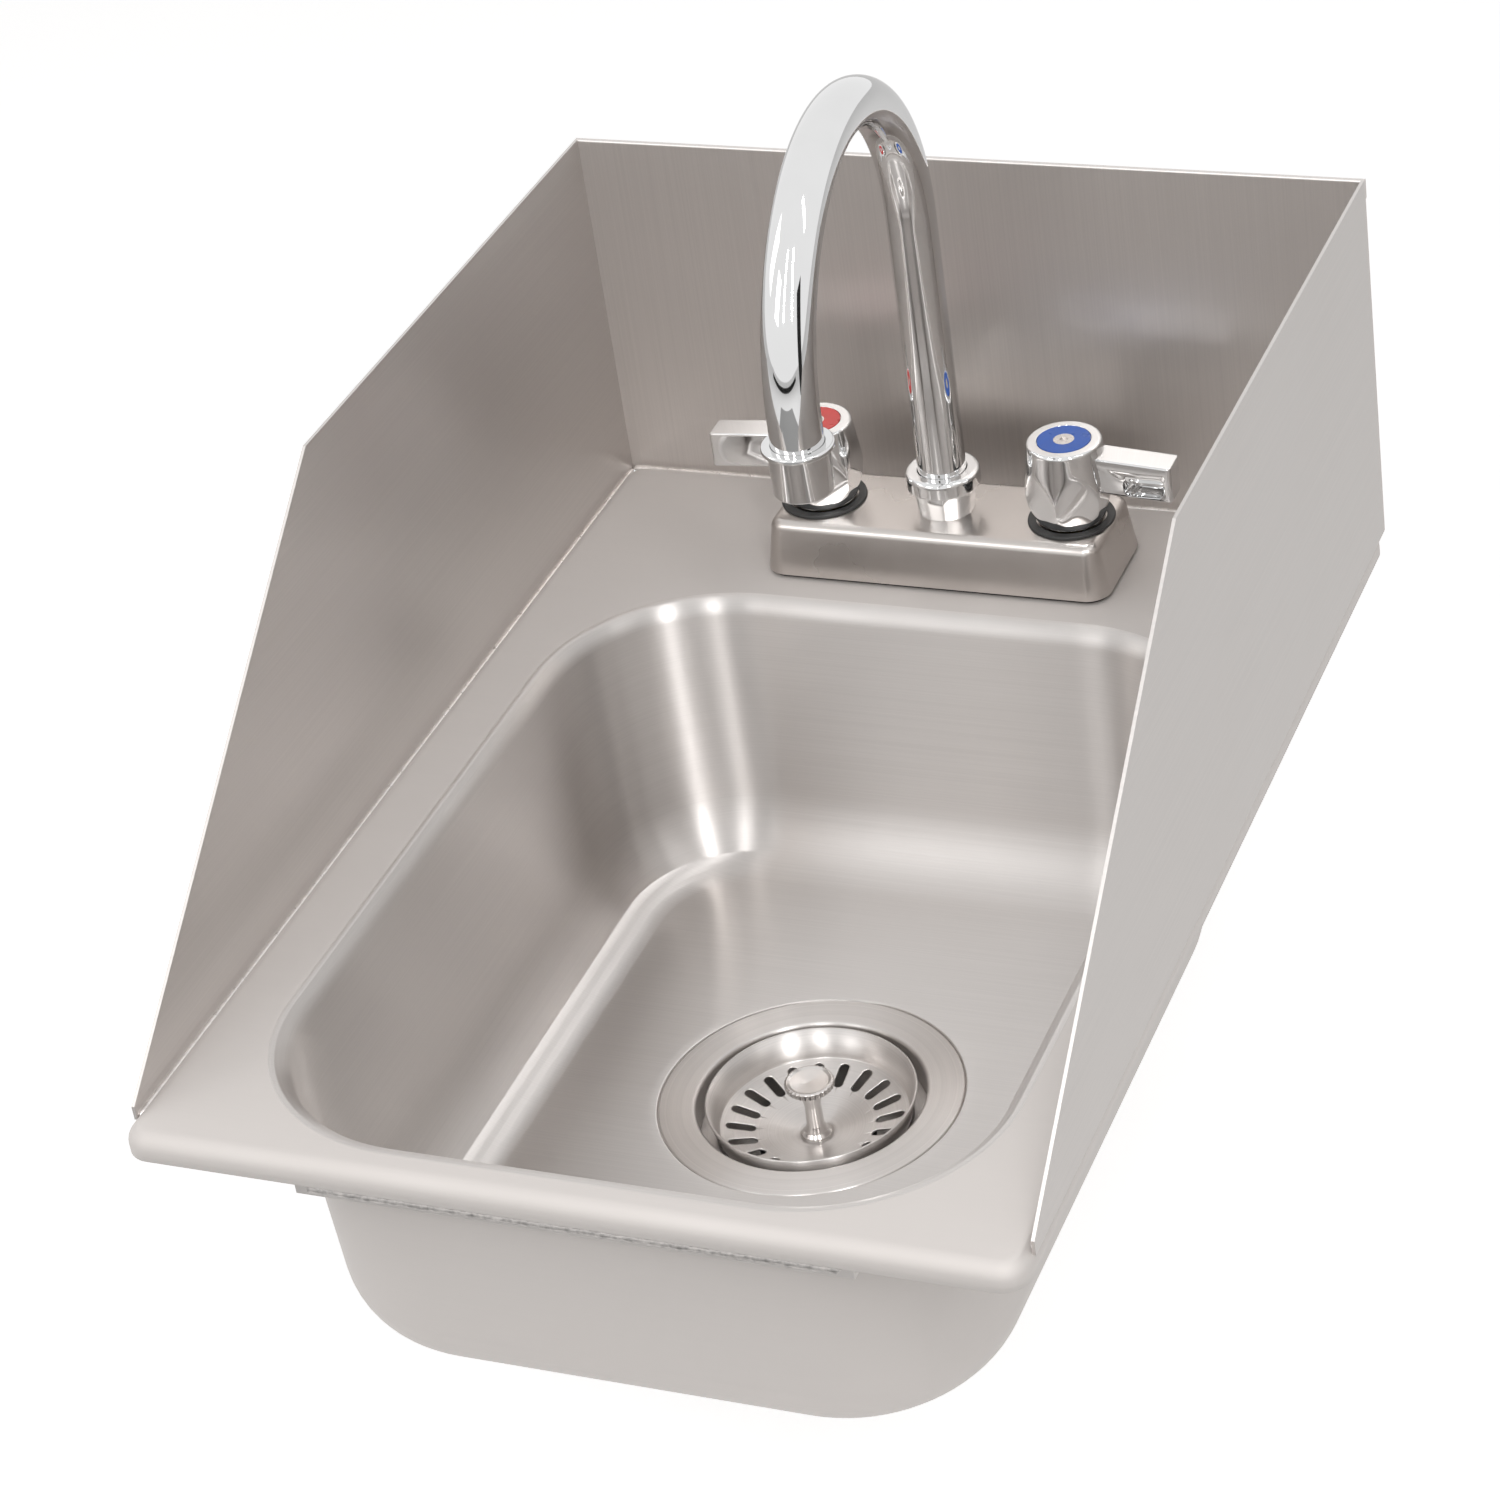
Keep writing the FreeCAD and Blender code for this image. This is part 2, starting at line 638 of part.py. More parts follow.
def make_spout():
    """The swivelling gooseneck: nut, bent tube with its tail and seals, and the aerator at the outlet."""
    bore = s.spout_radius + s.fit_clearance
    nut_top = s.nut_height
    ring = s.nut_ring_radius
    grip = s.nut_height - s.nut_ring_height
    nut = turned("spout_nut", [(bore, 0.0), (s.nut_radius - s.nut_taper, 0.0), (s.nut_radius, grip),
                               (ring, grip), (ring, nut_top, s.nut_ring_round), (bore, nut_top)],
                 y=faucet_y, z=base_top)
    cut_flats(nut, NUT_SIDES, s.nut_flat, 0.0, grip, s.nut_taper)

    tail_top = base_top + s.gasket_thickness
    tail_foot = tail_top - s.spout_tail_length
    waterway = s.spout_tail_radius - s.spout_wall
    tail = [(waterway, tail_foot), (s.spout_tail_radius, tail_foot), (s.spout_tail_radius, base_top),
            (s.spout_radius, base_top), (s.spout_radius, tail_top), (waterway, tail_top)]
    gooseneck = turned("gooseneck", tail, y=faucet_y, turn=s.spout_turn)
    path = sketch_on(gooseneck, "YZ_Plane")
    arch, reach = s.spout_arch_height, s.spout_arch_radius * 2
    tube_end = aerator_foot + s.aerator_height / 2
    spots = [(0.0, tail_top), (0.0, arch), (-reach, arch), (-reach, tube_end)]
    a, b, c, d = (FreeCAD.Vector(float(y), float(z), 0) for y, z in spots)
    rise = path.addGeometry(Part.LineSegment(a, b))
    top = b + (c - b) * 0.5 + FreeCAD.Vector(0, float(s.spout_arch_radius), 0)
    bend = path.addGeometry(Part.Arc(b, top, c))
    fall = path.addGeometry(Part.LineSegment(c, d))
    path.addConstraint(Sketcher.Constraint("Tangent", rise, 2, bend, 1))
    path.addConstraint(Sketcher.Constraint("Tangent", bend, 2, fall, 1))
    pin_down(path, rise, 1, *spots[0])
    pin_down(path, rise, 2, *spots[1])
    pin_down(path, fall, 2, *spots[3])
    section = sketch_on(gooseneck, "XY_Plane", tail_top)
    circle(section, s.spout_radius)
    circle(section, s.spout_radius - s.spout_wall)
    doc.recompute()
    tube = gooseneck.newObject("PartDesign::AdditivePipe", "Tube")
    tube.Profile = section
    tube.Spine = (path, ["Edge1", "Edge2", "Edge3"])

    seal_height = s.spout_tail_length / 6
    for label, step in (("spout_seal_lower", 1), ("spout_seal_upper", 3)):
        foot = tail_foot + seal_height * step
        inner, outer = s.spout_tail_radius + s.fit_clearance, s.spout_radius
        head = foot + seal_height
        turned(label, [(inner, foot), (outer, foot), (outer, head), (inner, head)], y=faucet_y)

    collar, lip = s.aerator_radius, s.aerator_lip_radius
    half, lip_foot = s.aerator_height / 2, s.aerator_height - s.aerator_lip_height
    screen = s.spout_radius - s.spout_wall / 2
    outlet_x, outlet_y = arm_end(reach, s.spout_turn)
    place = dict(x=outlet_x, y=faucet_y + outlet_y, z=aerator_foot)
    turned("aerator_housing", [
        (screen, 0.0), (collar, 0.0, s.aerator_round), (collar, lip_foot),
        (lip, lip_foot + (lip - collar) / 2), (lip, s.aerator_height, s.aerator_round),
        (bore, s.aerator_height), (bore, half), (screen, half)], **place)
    plate, plate_foot = screen - s.fit_clearance, s.screen_inset
    plate_top = plate_foot + s.screen_thickness
    inner = screen * 0.8
    insert = turned("aerator_insert", [(0.0, plate_foot), (plate, plate_foot), (plate, half), (inner, half),
                                       (inner, plate_top), (0.0, plate_top)], **place)
    for count, share in ((6, 0.3), (12, 0.6)):
        jets = sketch_on(insert, "XY_Plane")
        circle(jets, screen * 0.09, screen * share)
        repeat_round(insert, pocket(insert, jets, half, upward=True), count)


def make_drain():
    """The strainer body in the floor, and what holds it there and leads the water away."""
    place = dict(y=drain_y, z=flange_top)
    step = -basket_ledge
    cup = -s.cup_depth
    outlet_foot = cup - s.outlet_length
    neck_foot = -s.neck_length
    turned("strainer_body", [
        (s.flange_radius, -s.flange_thickness), (s.flange_radius, 0.0, s.flange_thickness / 2),
        (s.throat_radius, 0.0, s.throat_round), (s.throat_radius, step), (s.cup_radius, step),
        (s.cup_radius, cup, s.cup_round), (s.outlet_bore, cup), (s.outlet_bore, outlet_foot),
        (s.outlet_radius, outlet_foot), (s.outlet_radius, cup - s.flange_thickness * 2),
        (s.cup_radius + s.flange_thickness, cup - s.flange_thickness, s.cup_round),
        (s.neck_radius, neck_foot), (s.neck_radius, -s.flange_thickness)], **place)
    sink_under = -s.flange_thickness - s.sheet_thickness
    ring_hole = s.neck_radius + s.loose_clearance
    rim = s.flange_radius
    seal_foot = sink_under - s.seal_thickness
    turned("strainer_gasket", [(ring_hole, seal_foot), (rim, seal_foot), (rim, sink_under),
                               (ring_hole, sink_under)], **place)
    friction_foot = seal_foot - s.friction_thickness
    turned("friction_ring", [(ring_hole, friction_foot), (rim, friction_foot), (rim, seal_foot),
                             (ring_hole, seal_foot)], **place)
    thread = s.neck_radius + s.fit_clearance
    nut_foot = friction_foot - s.drain_nut_height
    nut = turned("strainer_locknut", [(thread, nut_foot), (s.drain_nut_radius, nut_foot),
                                      (s.drain_nut_radius, friction_foot), (thread, friction_foot)], **place)
    lug = sketch_on(nut, "XY_Plane", nut_foot)
    notch = s.drain_nut_height / 2
    notch_inner = thread + s.drain_nut_height / 3
    beyond = s.drain_nut_radius * 1.1
    outline(lug, [(notch_inner, -notch), (beyond, -notch), (beyond, notch), (notch_inner, notch)])
    repeat_round(nut, pocket(nut, lug, s.drain_nut_height * 0.6, upward=True), DRAIN_NUT_LUGS)

    washer = s.flange_thickness
    collar_top = outlet_foot - washer
    collar_foot = collar_top - washer
    pipe, pipe_bore = s.tail_radius, s.tail_radius - s.tail_wall
    collar = s.outlet_radius - s.loose_clearance
    turned("tailpiece_washer", [(pipe_bore, collar_top), (collar, collar_top), (collar, outlet_foot),
                                (pipe_bore, outlet_foot)], **place)
    shoulder_foot = collar_foot - s.shoulder_length
    shoulder = s.tail_radius + s.loose_clearance / 2
    turned("tailpiece", [(pipe_bore, shoulder_foot - s.tail_length), (pipe, shoulder_foot - s.tail_length),
                         (pipe, shoulder_foot), (shoulder, shoulder_foot), (shoulder, collar_foot),
                         (collar, collar_foot), (collar, collar_top), (pipe_bore, collar_top)], **place)
    nut_bore = s.outlet_radius + s.fit_clearance
    pipe_hole = s.tail_radius + s.loose_clearance
    lip_foot = collar_foot - s.flange_thickness * 1.5
    head = lip_foot + s.coupling_height
    coupling = turned("coupling_nut", [(pipe_hole, lip_foot), (s.coupling_radius, lip_foot),
                                       (s.coupling_radius, head), (nut_bore, head), (nut_bore, collar_foot),
                                       (pipe_hole, collar_foot)], **place)
    cut_flats(coupling, COUPLING_RIBS, s.coupling_radius * 0.96, lip_foot, head)


def make_basket():
    """The lift-out basket: a slotted dish, the post with its knob, and the rubber stopper below."""
    place = dict(y=drain_y, z=flange_top)
    sheet = s.basket_thickness
    rim = s.basket_rise
    floor_edge = rim - s.basket_wall_depth
    middle = floor_edge - s.basket_dish
    hole = s.post_radius + s.fit_clearance
    flat = s.post_radius * 2.7
    cup = turned("basket_cup", [
        (hole, middle - sheet), (flat, middle - sheet),
        (s.basket_floor_radius, floor_edge - sheet, sheet * 2),
        (s.basket_radius - sheet, rim - sheet * 2), (s.basket_radius, rim - sheet * 2),
        (s.basket_radius, rim, sheet * 0.6), (s.basket_radius - sheet * 2, rim, sheet * 0.6),
        (s.basket_floor_radius - sheet, floor_edge, sheet * 2), (flat, middle), (hole, middle)], **place)
    slot = sketch_on(cup, "XY_Plane")
    half, end = s.slot_width / 2, s.slot_width * 0.45
    inner, outer = s.slot_inner_radius, s.slot_outer_radius
    outline(slot, [(inner, -half, end), (outer, -half, end), (outer, half, end), (inner, half, end)])
    through = s.basket_wall_depth + s.basket_dish + sheet * 4
    repeat_round(cup, pocket(cup, slot, through), BASKET_SLOTS)

    post, collar = s.post_radius, s.post_radius * 1.7
    stopper_top = middle - sheet - s.fit_clearance
    stopper_foot = stopper_top - s.stopper_thickness
    head_foot = stopper_foot - s.post_radius * 0.7
    shoulder = middle + s.post_rise
    knob_top = shoulder + s.knob_height
    stud = s.post_radius * 0.7
    turned("basket_post", [
        (0.0, head_foot), (collar, head_foot), (collar, stopper_foot), (post, stopper_foot), (post, middle),
        (collar, middle), (collar, middle + post), (post, middle + post * 1.4),
        (post, shoulder - s.post_head_height), (s.post_head_radius, shoulder),
        (stud, shoulder), (stud, knob_top - s.knob_height / 3), (0.0, knob_top - s.knob_height / 3)], **place)
    stud_hole = stud + s.fit_clearance
    knob = turned("basket_knob", [
        (stud_hole, shoulder), (s.knob_radius - s.knob_bevel, shoulder),
        (s.knob_radius, shoulder + s.knob_bevel), (s.knob_radius, knob_top, s.knob_bevel), (0.0, knob_top),
        (0.0, knob_top - s.knob_height / 3),
        (stud_hole, knob_top - s.knob_height / 3)], **place)
    notch = sketch_on(knob, "XY_Plane", shoulder)
    circle(notch, s.knob_radius * 0.07, s.knob_radius)
    repeat_round(knob, pocket(knob, notch, s.knob_height, upward=True), KNOB_NOTCHES)
    turned("basket_stopper", [
        (hole, stopper_foot), (s.stopper_radius - s.stopper_thickness / 2, stopper_foot),
        (s.stopper_radius, stopper_top - s.stopper_thickness / 2), (s.stopper_radius, stopper_top),
        (hole, stopper_top)], **place)


def write_parts():
    """Stops at any failed feature or bad solid, then writes one file for each piece."""
    doc.recompute()
    failed = [thing.Label for thing in doc.Objects if {"Invalid", "Error"} & set(thing.State)]
    broken = [body.Label for body in sub_parts if body.Shape.isNull() or not body.Shape.isValid()]
    if failed or broken:
        raise RuntimeError(f"failed features: {failed}, broken shapes: {broken}")
    os.makedirs("parts", exist_ok=True)
    for body in sub_parts:
        body.Shape.exportStep(f"parts/{body.Label}.step")
    print(len(sub_parts), "pieces written")


make_sink_bowl()
make_splash_guards()
make_rails()
make_faucet_base()
for name, x, turn in (("hot", -valve_x, 180.0), ("cold", valve_x, 0.0)):
    make_inlet(name, x)
    make_handle(name, x, turn)
make_spout()
make_drain()
make_basket()
write_parts()
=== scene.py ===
"""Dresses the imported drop-in sink: drawn and brushed sheet, chromed faucet, slotted strainer and studio."""

import math

import bmesh
import bpy
import numpy as np
from bpy.props import FloatProperty, FloatVectorProperty, PointerProperty
from mathutils import Matrix, Vector


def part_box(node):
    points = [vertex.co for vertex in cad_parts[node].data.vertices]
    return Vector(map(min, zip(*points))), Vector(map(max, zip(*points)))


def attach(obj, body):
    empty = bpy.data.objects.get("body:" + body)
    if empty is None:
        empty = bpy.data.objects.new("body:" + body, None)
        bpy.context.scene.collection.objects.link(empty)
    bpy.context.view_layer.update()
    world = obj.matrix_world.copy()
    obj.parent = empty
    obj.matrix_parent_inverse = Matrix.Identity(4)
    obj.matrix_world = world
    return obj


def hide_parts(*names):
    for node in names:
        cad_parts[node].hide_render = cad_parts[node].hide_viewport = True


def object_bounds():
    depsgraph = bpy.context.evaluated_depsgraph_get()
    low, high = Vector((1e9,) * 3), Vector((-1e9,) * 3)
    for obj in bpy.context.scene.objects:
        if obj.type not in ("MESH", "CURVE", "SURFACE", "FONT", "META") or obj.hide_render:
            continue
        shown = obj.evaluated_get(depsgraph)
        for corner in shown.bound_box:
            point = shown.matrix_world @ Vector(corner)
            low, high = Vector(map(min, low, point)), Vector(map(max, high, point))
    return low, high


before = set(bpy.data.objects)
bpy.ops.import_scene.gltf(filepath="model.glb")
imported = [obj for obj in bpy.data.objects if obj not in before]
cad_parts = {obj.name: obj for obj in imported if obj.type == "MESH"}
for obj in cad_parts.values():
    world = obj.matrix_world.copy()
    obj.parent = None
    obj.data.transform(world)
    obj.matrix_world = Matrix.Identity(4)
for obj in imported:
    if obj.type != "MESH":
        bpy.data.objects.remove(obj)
CAD_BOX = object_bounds()

bl_info = {
    "name": "Drop-in sink",
    "version": (1, 0, 0),
    "blender": (4, 5, 0),
    "location": "View3D > Sidebar > Sink",
    "description": "Builds the finished surfaces of a drop-in sink around its packed frame",
    "category": "Object",
}

MM = 0.001
MERGE_DISTANCE = 1e-7
MARK_DIGITS = 7
GRAIN_LAYER = "grain"
# Most values of a noise texture lie between these two
NOISE_LOW, NOISE_HIGH = 0.3, 0.7


def middle_of(node):
    """The middle of a CAD node's box."""
    low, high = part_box(node)
    return (low + high) / 2


DECK_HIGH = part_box("sink_bowl")[1]
DRAIN = middle_of("strainer_body")
FLANGE_LOW, FLANGE_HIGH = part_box("strainer_body")
BASE_LOW, BASE_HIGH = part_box("faucet_base")
SPOUT_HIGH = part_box("gooseneck")[1]
FAUCET = Vector((0.0, middle_of("faucet_base").y, BASE_HIGH.z))
OUTLET_LOW, OUTLET_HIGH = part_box("aerator_housing")
OUTLET = middle_of("aerator_housing")


def length(name, description, millimetres):
    """A length that the user can change, given here in millimetres."""
    return FloatProperty(name=name, description=description, default=millimetres * MM, unit="LENGTH",
                         precision=4)


def angle(name, description, degrees):
    """An angle that the user can change, given here in degrees."""
    return FloatProperty(name=name, description=description, default=math.radians(degrees), subtype="ANGLE")


def colour(name, description, shade):
    """A colour that the user can change, in linear light."""
    return FloatVectorProperty(name=name, description=description, default=shade, size=3, subtype="COLOR",
                               min=0.0, max=1.0)


def share(name, description, amount):
    """A plain amount that the user can change."""
    return FloatProperty(name=name, description=description, default=amount)


class SheetSettings(bpy.types.PropertyGroup):
    """Sizes of the drawn deck and bowl."""

    thickness: length("Sheet", "Thickness of the steel sheet", 1.2)
    deck_corner: length("Deck corner", "Plan radius of the deck's corners", 10)
    edge_roll: length("Edge roll", "Radius of the deck's turned-down edge", 6)
    bowl_width: length("Bowl width", "Width of the bowl's opening", 254)
    bowl_length: length("Bowl length", "Front to back length of the bowl's opening", 333)
    bowl_setback: length("Bowl setback", "Deck's front edge to the bowl's front wall", 18)
    bowl_corner: length("Bowl corner", "Plan radius of the bowl's corners", 62)
    bowl_draft: angle("Draft", "Lean of the bowl's walls", 3)
    floor_round: length("Floor round", "Radius between wall and floor", 28)
    rim_roll: length("Rim roll", "Radius between deck and wall", 7)
    bowl_depth: length("Bowl depth", "Deck top to the bowl's floor", 112)
    recess_radius: length("Recess", "Radius of the step that takes the drain's flange", 57.55)
    recess_depth: length("Recess depth", "Depth of that step", 2)
    drain_hole: length("Drain hole", "Radius of the hole in the floor", 45)
    bead: length("Weld bead", "Radius of the bead along the splash guards' feet", 1.2)


class FaucetSettings(bpy.types.PropertyGroup):
    """Sizes of the faucet."""

    base_corner: length("Base corner", "Plan radius of the cast body's corners", 9)
    base_draft: angle("Base draft", "Lean of the cast body's sides", 9)
    base_round: length("Base round", "Radius of the cast body's top edge", 4)
    hub_foot: length("Hub foot", "Height of the handle's foot above the cast body", 1.4)
    hub_height: length("Hub height", "Height of the handle's hub", 33.2)
    skirt_radius: length("Skirt ring", "Radius of the dark ring under the hub", 17)
    skirt_height: length("Skirt height", "Height of that ring", 1.1)
    hub_top: length("Hub top", "Radius of the hub's top", 14.5)
    hub_wide: length("Hub waist", "Radius of the hub where it is widest", 17.7)
    hub_wide_at: length("Hub waist height", "Hub's foot to where it is widest", 9.7)
    hub_flat: length("Hub flat", "Axis to flat at the hub's foot", 13.2)
    hub_lean: share("Hub lean", "How far the flats lean out for each unit of height", 2.5 / 21.0)
    lever_length: length("Lever length", "Axis to the lever's tip", 43)
    lever_width: length("Lever width", "Width of the lever", 12)
    lever_depth: length("Lever depth", "Height of the lever's side", 14.5)
    lever_drop: length("Lever drop", "Hub top to the lever's top", 4)
    lever_slope: length("Lever slope", "Fall of the lever's top towards the tip", 2.5)
    lever_round: length("Lever round", "Radius of the lever's long edges", 0.7)
    lever_tip: length("Lever tip", "Radius of the lever's tip edges", 1.6)
    recess_wall: length("Recess wall", "Wall behind the hollow in the lever's side", 3)
    recess_length: length("Recess length", "Length of that hollow", 16)
    recess_end: length("Recess end", "Hollow to the lever's tip", 2.8)
    recess_top: length("Recess top", "Hollow to the lever's top", 5.4)
    recess_foot: length("Recess foot", "Hollow to the lever's underside", 1.8)
    recess_corner: length("Recess corner", "Radius of the hollow's corners", 2.4)
    index_radius: length("Index", "Radius of the coloured ring", 10.2)
    spout_radius: length("Spout", "Radius of the gooseneck tube", 9.5)
    spout_wall: length("Spout wall", "Wall of the gooseneck tube", 1.3)
    nut_height: length("Nut height", "Height of the spout's nut", 18)
    nut_grip: length("Nut grip", "Radius at the top of the nut's grip", 12.7)
    nut_flat: length("Nut flat", "Axis to flat at the nut's foot", 10.9)
    nut_taper: length("Nut taper", "How much wider the grip is at its top", 1.4)
    nut_ring: length("Nut ring", "Radius of the nut's top ring", 14.6)
    nut_ring_height: length("Nut ring height", "Height of that ring", 7)
    aerator_body: length("Aerator", "Radius of the aerator below its lip", 11.1)
    aerator_lip: length("Aerator lip", "Height of the aerator's lip", 2.6)


class DrainSettings(bpy.types.PropertyGroup):
    """Sizes of the strainer and its basket."""

    flange_radius: length("Flange", "Radius of the strainer's flange", 57.15)
    throat_radius: length("Throat", "Radius of the strainer's throat", 42.8)
    throat_round: length("Throat round", "Radius where the flange turns down", 1.6)
    basket_radius: length("Basket", "Radius of the basket's rim", 40.5)
    basket_floor: length("Basket floor", "Radius of the basket's floor", 36.2)
    basket_rise: length("Basket rise", "Flange top up to the basket's rim", 0.6)
    basket_depth: length("Basket depth", "Rim to the floor's edge", 12)
    basket_dish: length("Basket dish", "Floor's edge to the floor's middle", 7)
    slot_inner: length("Slot start", "Radius where the slots start", 22.5)
    slot_outer: length("Slot end", "Radius where the slots end", 33.5)
    slot_width: length("Slot width", "Width of a slot", 3.8)
    knob_radius: length("Knob", "Radius of the basket's knob", 9.4)


class FinishSettings(bpy.types.PropertyGroup):
    """Colours of the finishes."""

    steel: colour("Steel", "Brushed sheet steel", (0.67, 0.64, 0.62))
    cast: colour("Cast", "Satin plated casting", (0.58, 0.545, 0.52))
    chrome: colour("Chrome", "Polished chrome", (0.76, 0.76, 0.76))
    hot: colour("Hot", "Ring on the hot handle", (0.76, 0.06, 0.055))
    cold: colour("Cold", "Ring on the cold handle", (0.02, 0.12, 0.55))
    rubber: colour("Rubber", "Seals and rings", (0.02, 0.02, 0.02))
    brass: colour("Brass", "Valves and inlets", (0.72, 0.52, 0.24))
    plastic: colour("Plastic", "Washers and screens", (0.55, 0.55, 0.52))


class StudioSettings(bpy.types.PropertyGroup):
    """Camera and light."""

    azimuth: angle("Azimuth", "Camera's turn to the right of the front", 25.25)
    elevation: angle("Elevation", "Camera's height above the horizon", 32.99)
    roll: angle("Roll", "Camera's turn about its own axis", -8.42)
    distance: length("Distance", "Camera to the point it turns about", 1544.41)
    aim_x: length("Aim X", "Point that the camera turns about, to the right", -11.19)
    aim_y: length("Aim Y", "Point that the camera turns about, to the back", 52.03)
    aim_z: length("Aim Z", "Point that the camera turns about, up", 9)
    lens: share("Lens", "Focal length for a 36 mm sensor", 100.56)
    shift_x: share("Shift X", "Sideways shift of the frame", -0.0458)
    shift_y: share("Shift Y", "Upward shift of the frame", -0.0172)


def unit(vector):
    """The vector at length one."""
    return vector / np.linalg.norm(vector)


def rounded_path(corners, steps=10):
    """Points along corners (x, y) or (x, y, radius): a rounded corner is an arc that touches both sides."""
    spots = np.array([corner[:2] for corner in corners], float)
    stretches = [spots[:1]]
    for before, spot, after, corner in zip(spots, spots[1:], spots[2:], corners[1:]):
        radius = corner[2] if len(corner) > 2 else 0.0
        if radius == 0.0:
            stretches.append(spot[None])
            continue
        into, out = unit(before - spot), unit(after - spot)
        half = math.acos(np.clip(into @ out, -1, 1)) / 2
        middle = spot + unit(into + out) * radius / math.sin(half)
        start = spot + into * radius / math.tan(half) - middle
        end = spot + out * radius / math.tan(half) - middle
        turn = math.pi - 2 * half
        t = np.linspace(0, 1, steps)[:, None]
        stretches.append(middle + (np.sin((1 - t) * turn) * start + np.sin(t * turn) * end) / math.sin(turn))
    stretches.append(spots[-1:])
    return np.concatenate(stretches)


def resampled(path, count):
    """The path with points set evenly along it, and every corner of it kept."""
    along = np.concatenate([[0], np.cumsum(np.linalg.norm(np.diff(path, axis=0), axis=1))])
    even = np.linspace(0, along[-1], count)
    marks = np.union1d(np.round(even, MARK_DIGITS), np.round(along, MARK_DIGITS))
    return np.stack([np.interp(marks, along, path[:, k]) for k in range(path.shape[1])], -1)


def grid_faces(rows, columns, wrap_rows=False, wrap_columns=True):
    """Corner numbers of the quads between neighbouring rows and columns of a grid of points."""
    r = np.arange(rows if wrap_rows else rows - 1)[:, None]
    c = np.arange(columns if wrap_columns else columns - 1)[None, :]
    r2, c2 = (r + 1) % rows, (c + 1) % columns
    corners = [r * columns + c, r * columns + c2, r2 * columns + c2, r2 * columns + c]
    return np.stack(corners, -1).reshape(-1, 4)


def carried_round(profile, centre, count=96, change=None):
    """A profile of (radius, height) turned about the vertical: (r cos a, r sin a, h) for every angle a."""
    a = np.linspace(0, 2 * math.pi, count, endpoint=False)[None, :]
    radius, height = profile[:, :1] + 0 * a, profile[:, 1:] + 0 * a
    if change is not None:
        radius = change(radius, height, a)
    return np.stack([centre.x + radius * np.cos(a), centre.y + radius * np.sin(a), centre.z + height], -1)


def rounded_rings(half_x, half_y, corner, y, z, per_corner=20, per_side=36):
    """One rounded rectangle for each entry: quarter circles of the corner's radius and straight sides."""
    given = (half_x, half_y, corner, y, z)
    half_x, half_y, corner, y, z = (np.asarray(value, float).reshape(-1, 1) for value in given)
    quarter = np.linspace(0, math.pi / 2, per_corner)[None, :]
    arcs = []
    for k, (sx, sy) in enumerate(((1, 1), (-1, 1), (-1, -1), (1, -1))):
        a = quarter + k * math.pi / 2
        x = sx * (half_x - corner) + corner * np.cos(a)
        arcs.append(np.stack([x, y + sy * (half_y - corner) + corner * np.sin(a), z + 0 * a], -1))
    t = np.linspace(0, 1, per_side + 2)[1:-1][None, :, None]
    rings = []
    for arc, following in zip(arcs, arcs[1:] + arcs[:1]):
        rings += [arc, arc[:, -1:] * (1 - t) + following[:, :1] * t]
    return np.concatenate(rings, axis=1)


def new_piece(name, points, faces, finish, body, stands_for=(), sharp=35, closed=True):
    """A smooth piece: a closed shell has its equal points merged and its faces turned outwards."""
    mesh = bpy.data.meshes.new(name)
    mesh.from_pydata(np.asarray(points, float).reshape(-1, 3), [], faces)
    if closed:
        shell = bmesh.new()
        shell.from_mesh(mesh)
        bmesh.ops.remove_doubles(shell, verts=shell.verts, dist=MERGE_DISTANCE)
        bmesh.ops.recalc_face_normals(shell, faces=shell.faces)
        shell.to_mesh(mesh)
        shell.free()
    mesh.shade_smooth()
    mesh.set_sharp_from_angle(angle=math.radians(sharp))
    mesh.materials.append(finish)
    piece = bpy.data.objects.new(name, mesh)
    bpy.context.scene.collection.objects.link(piece)
    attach(piece, body)
    if stands_for:
        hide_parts(*stands_for)
    return piece


def turned_piece(name, corners, centre, finish, body, stands_for=(), count=96, change=None, fine=0):
    """A turned piece from a closed run of (radius, height) corners in millimetres."""
    profile = rounded_path([*corners, corners[0]]) * MM
    if fine:
        profile = resampled(profile, fine)
    points = carried_round(profile[:-1], centre, count, change)
    faces = grid_faces(len(profile) - 1, count, wrap_rows=True)
    return new_piece(name, points, faces, finish, body, stands_for)


def new_material(name):
    """A material with one Principled shader: its node tree and that shader."""
    material = bpy.data.materials.new(name)
    material.use_nodes = True
    tree = material.node_tree
    return material, tree, tree.nodes["Principled BSDF"]


def add_node(tree, kind, sockets=None, **settings):
    """A node with its settings made and its sockets set to values or linked to other sockets."""
    node = tree.nodes.new(kind)
    for key, value in settings.items():
        setattr(node, key, value)
    for key, value in (sockets or {}).items():
        if isinstance(value, bpy.types.NodeSocket):
            tree.links.new(value, node.inputs[key])
        else:
            node.inputs[key].default_value = value
    return node


def noise(tree, vector, scale, detail=2.0):
    """A noise texture's plain output."""
    sockets = {"Vector": vector, "Scale": scale, "Detail": detail}
    return add_node(tree, "ShaderNodeTexNoise", sockets).outputs["Fac"]


def spread(tree, value, low, high):
    """A noise value spread over a range."""
    sockets = {"Value": value, "From Min": NOISE_LOW, "From Max": NOISE_HIGH, "To Min": low, "To Max": high}
    return add_node(tree, "ShaderNodeMapRange", sockets).outputs["Result"]


def tinted(tree, value, shade, change):
    """A colour that drifts a little darker and lighter with a noise value."""
    dark = (*(c * (1 - change) for c in shade), 1.0)
    light = (*(min(1.0, c * (1 + change)) for c in shade), 1.0)
    mix = add_node(tree, "ShaderNodeMix", data_type="RGBA")
    tree.links.new(spread(tree, value, 0.0, 1.0), mix.inputs["Factor"])
    mix.inputs["A"].default_value, mix.inputs["B"].default_value = dark, light
    return mix.outputs["Result"]


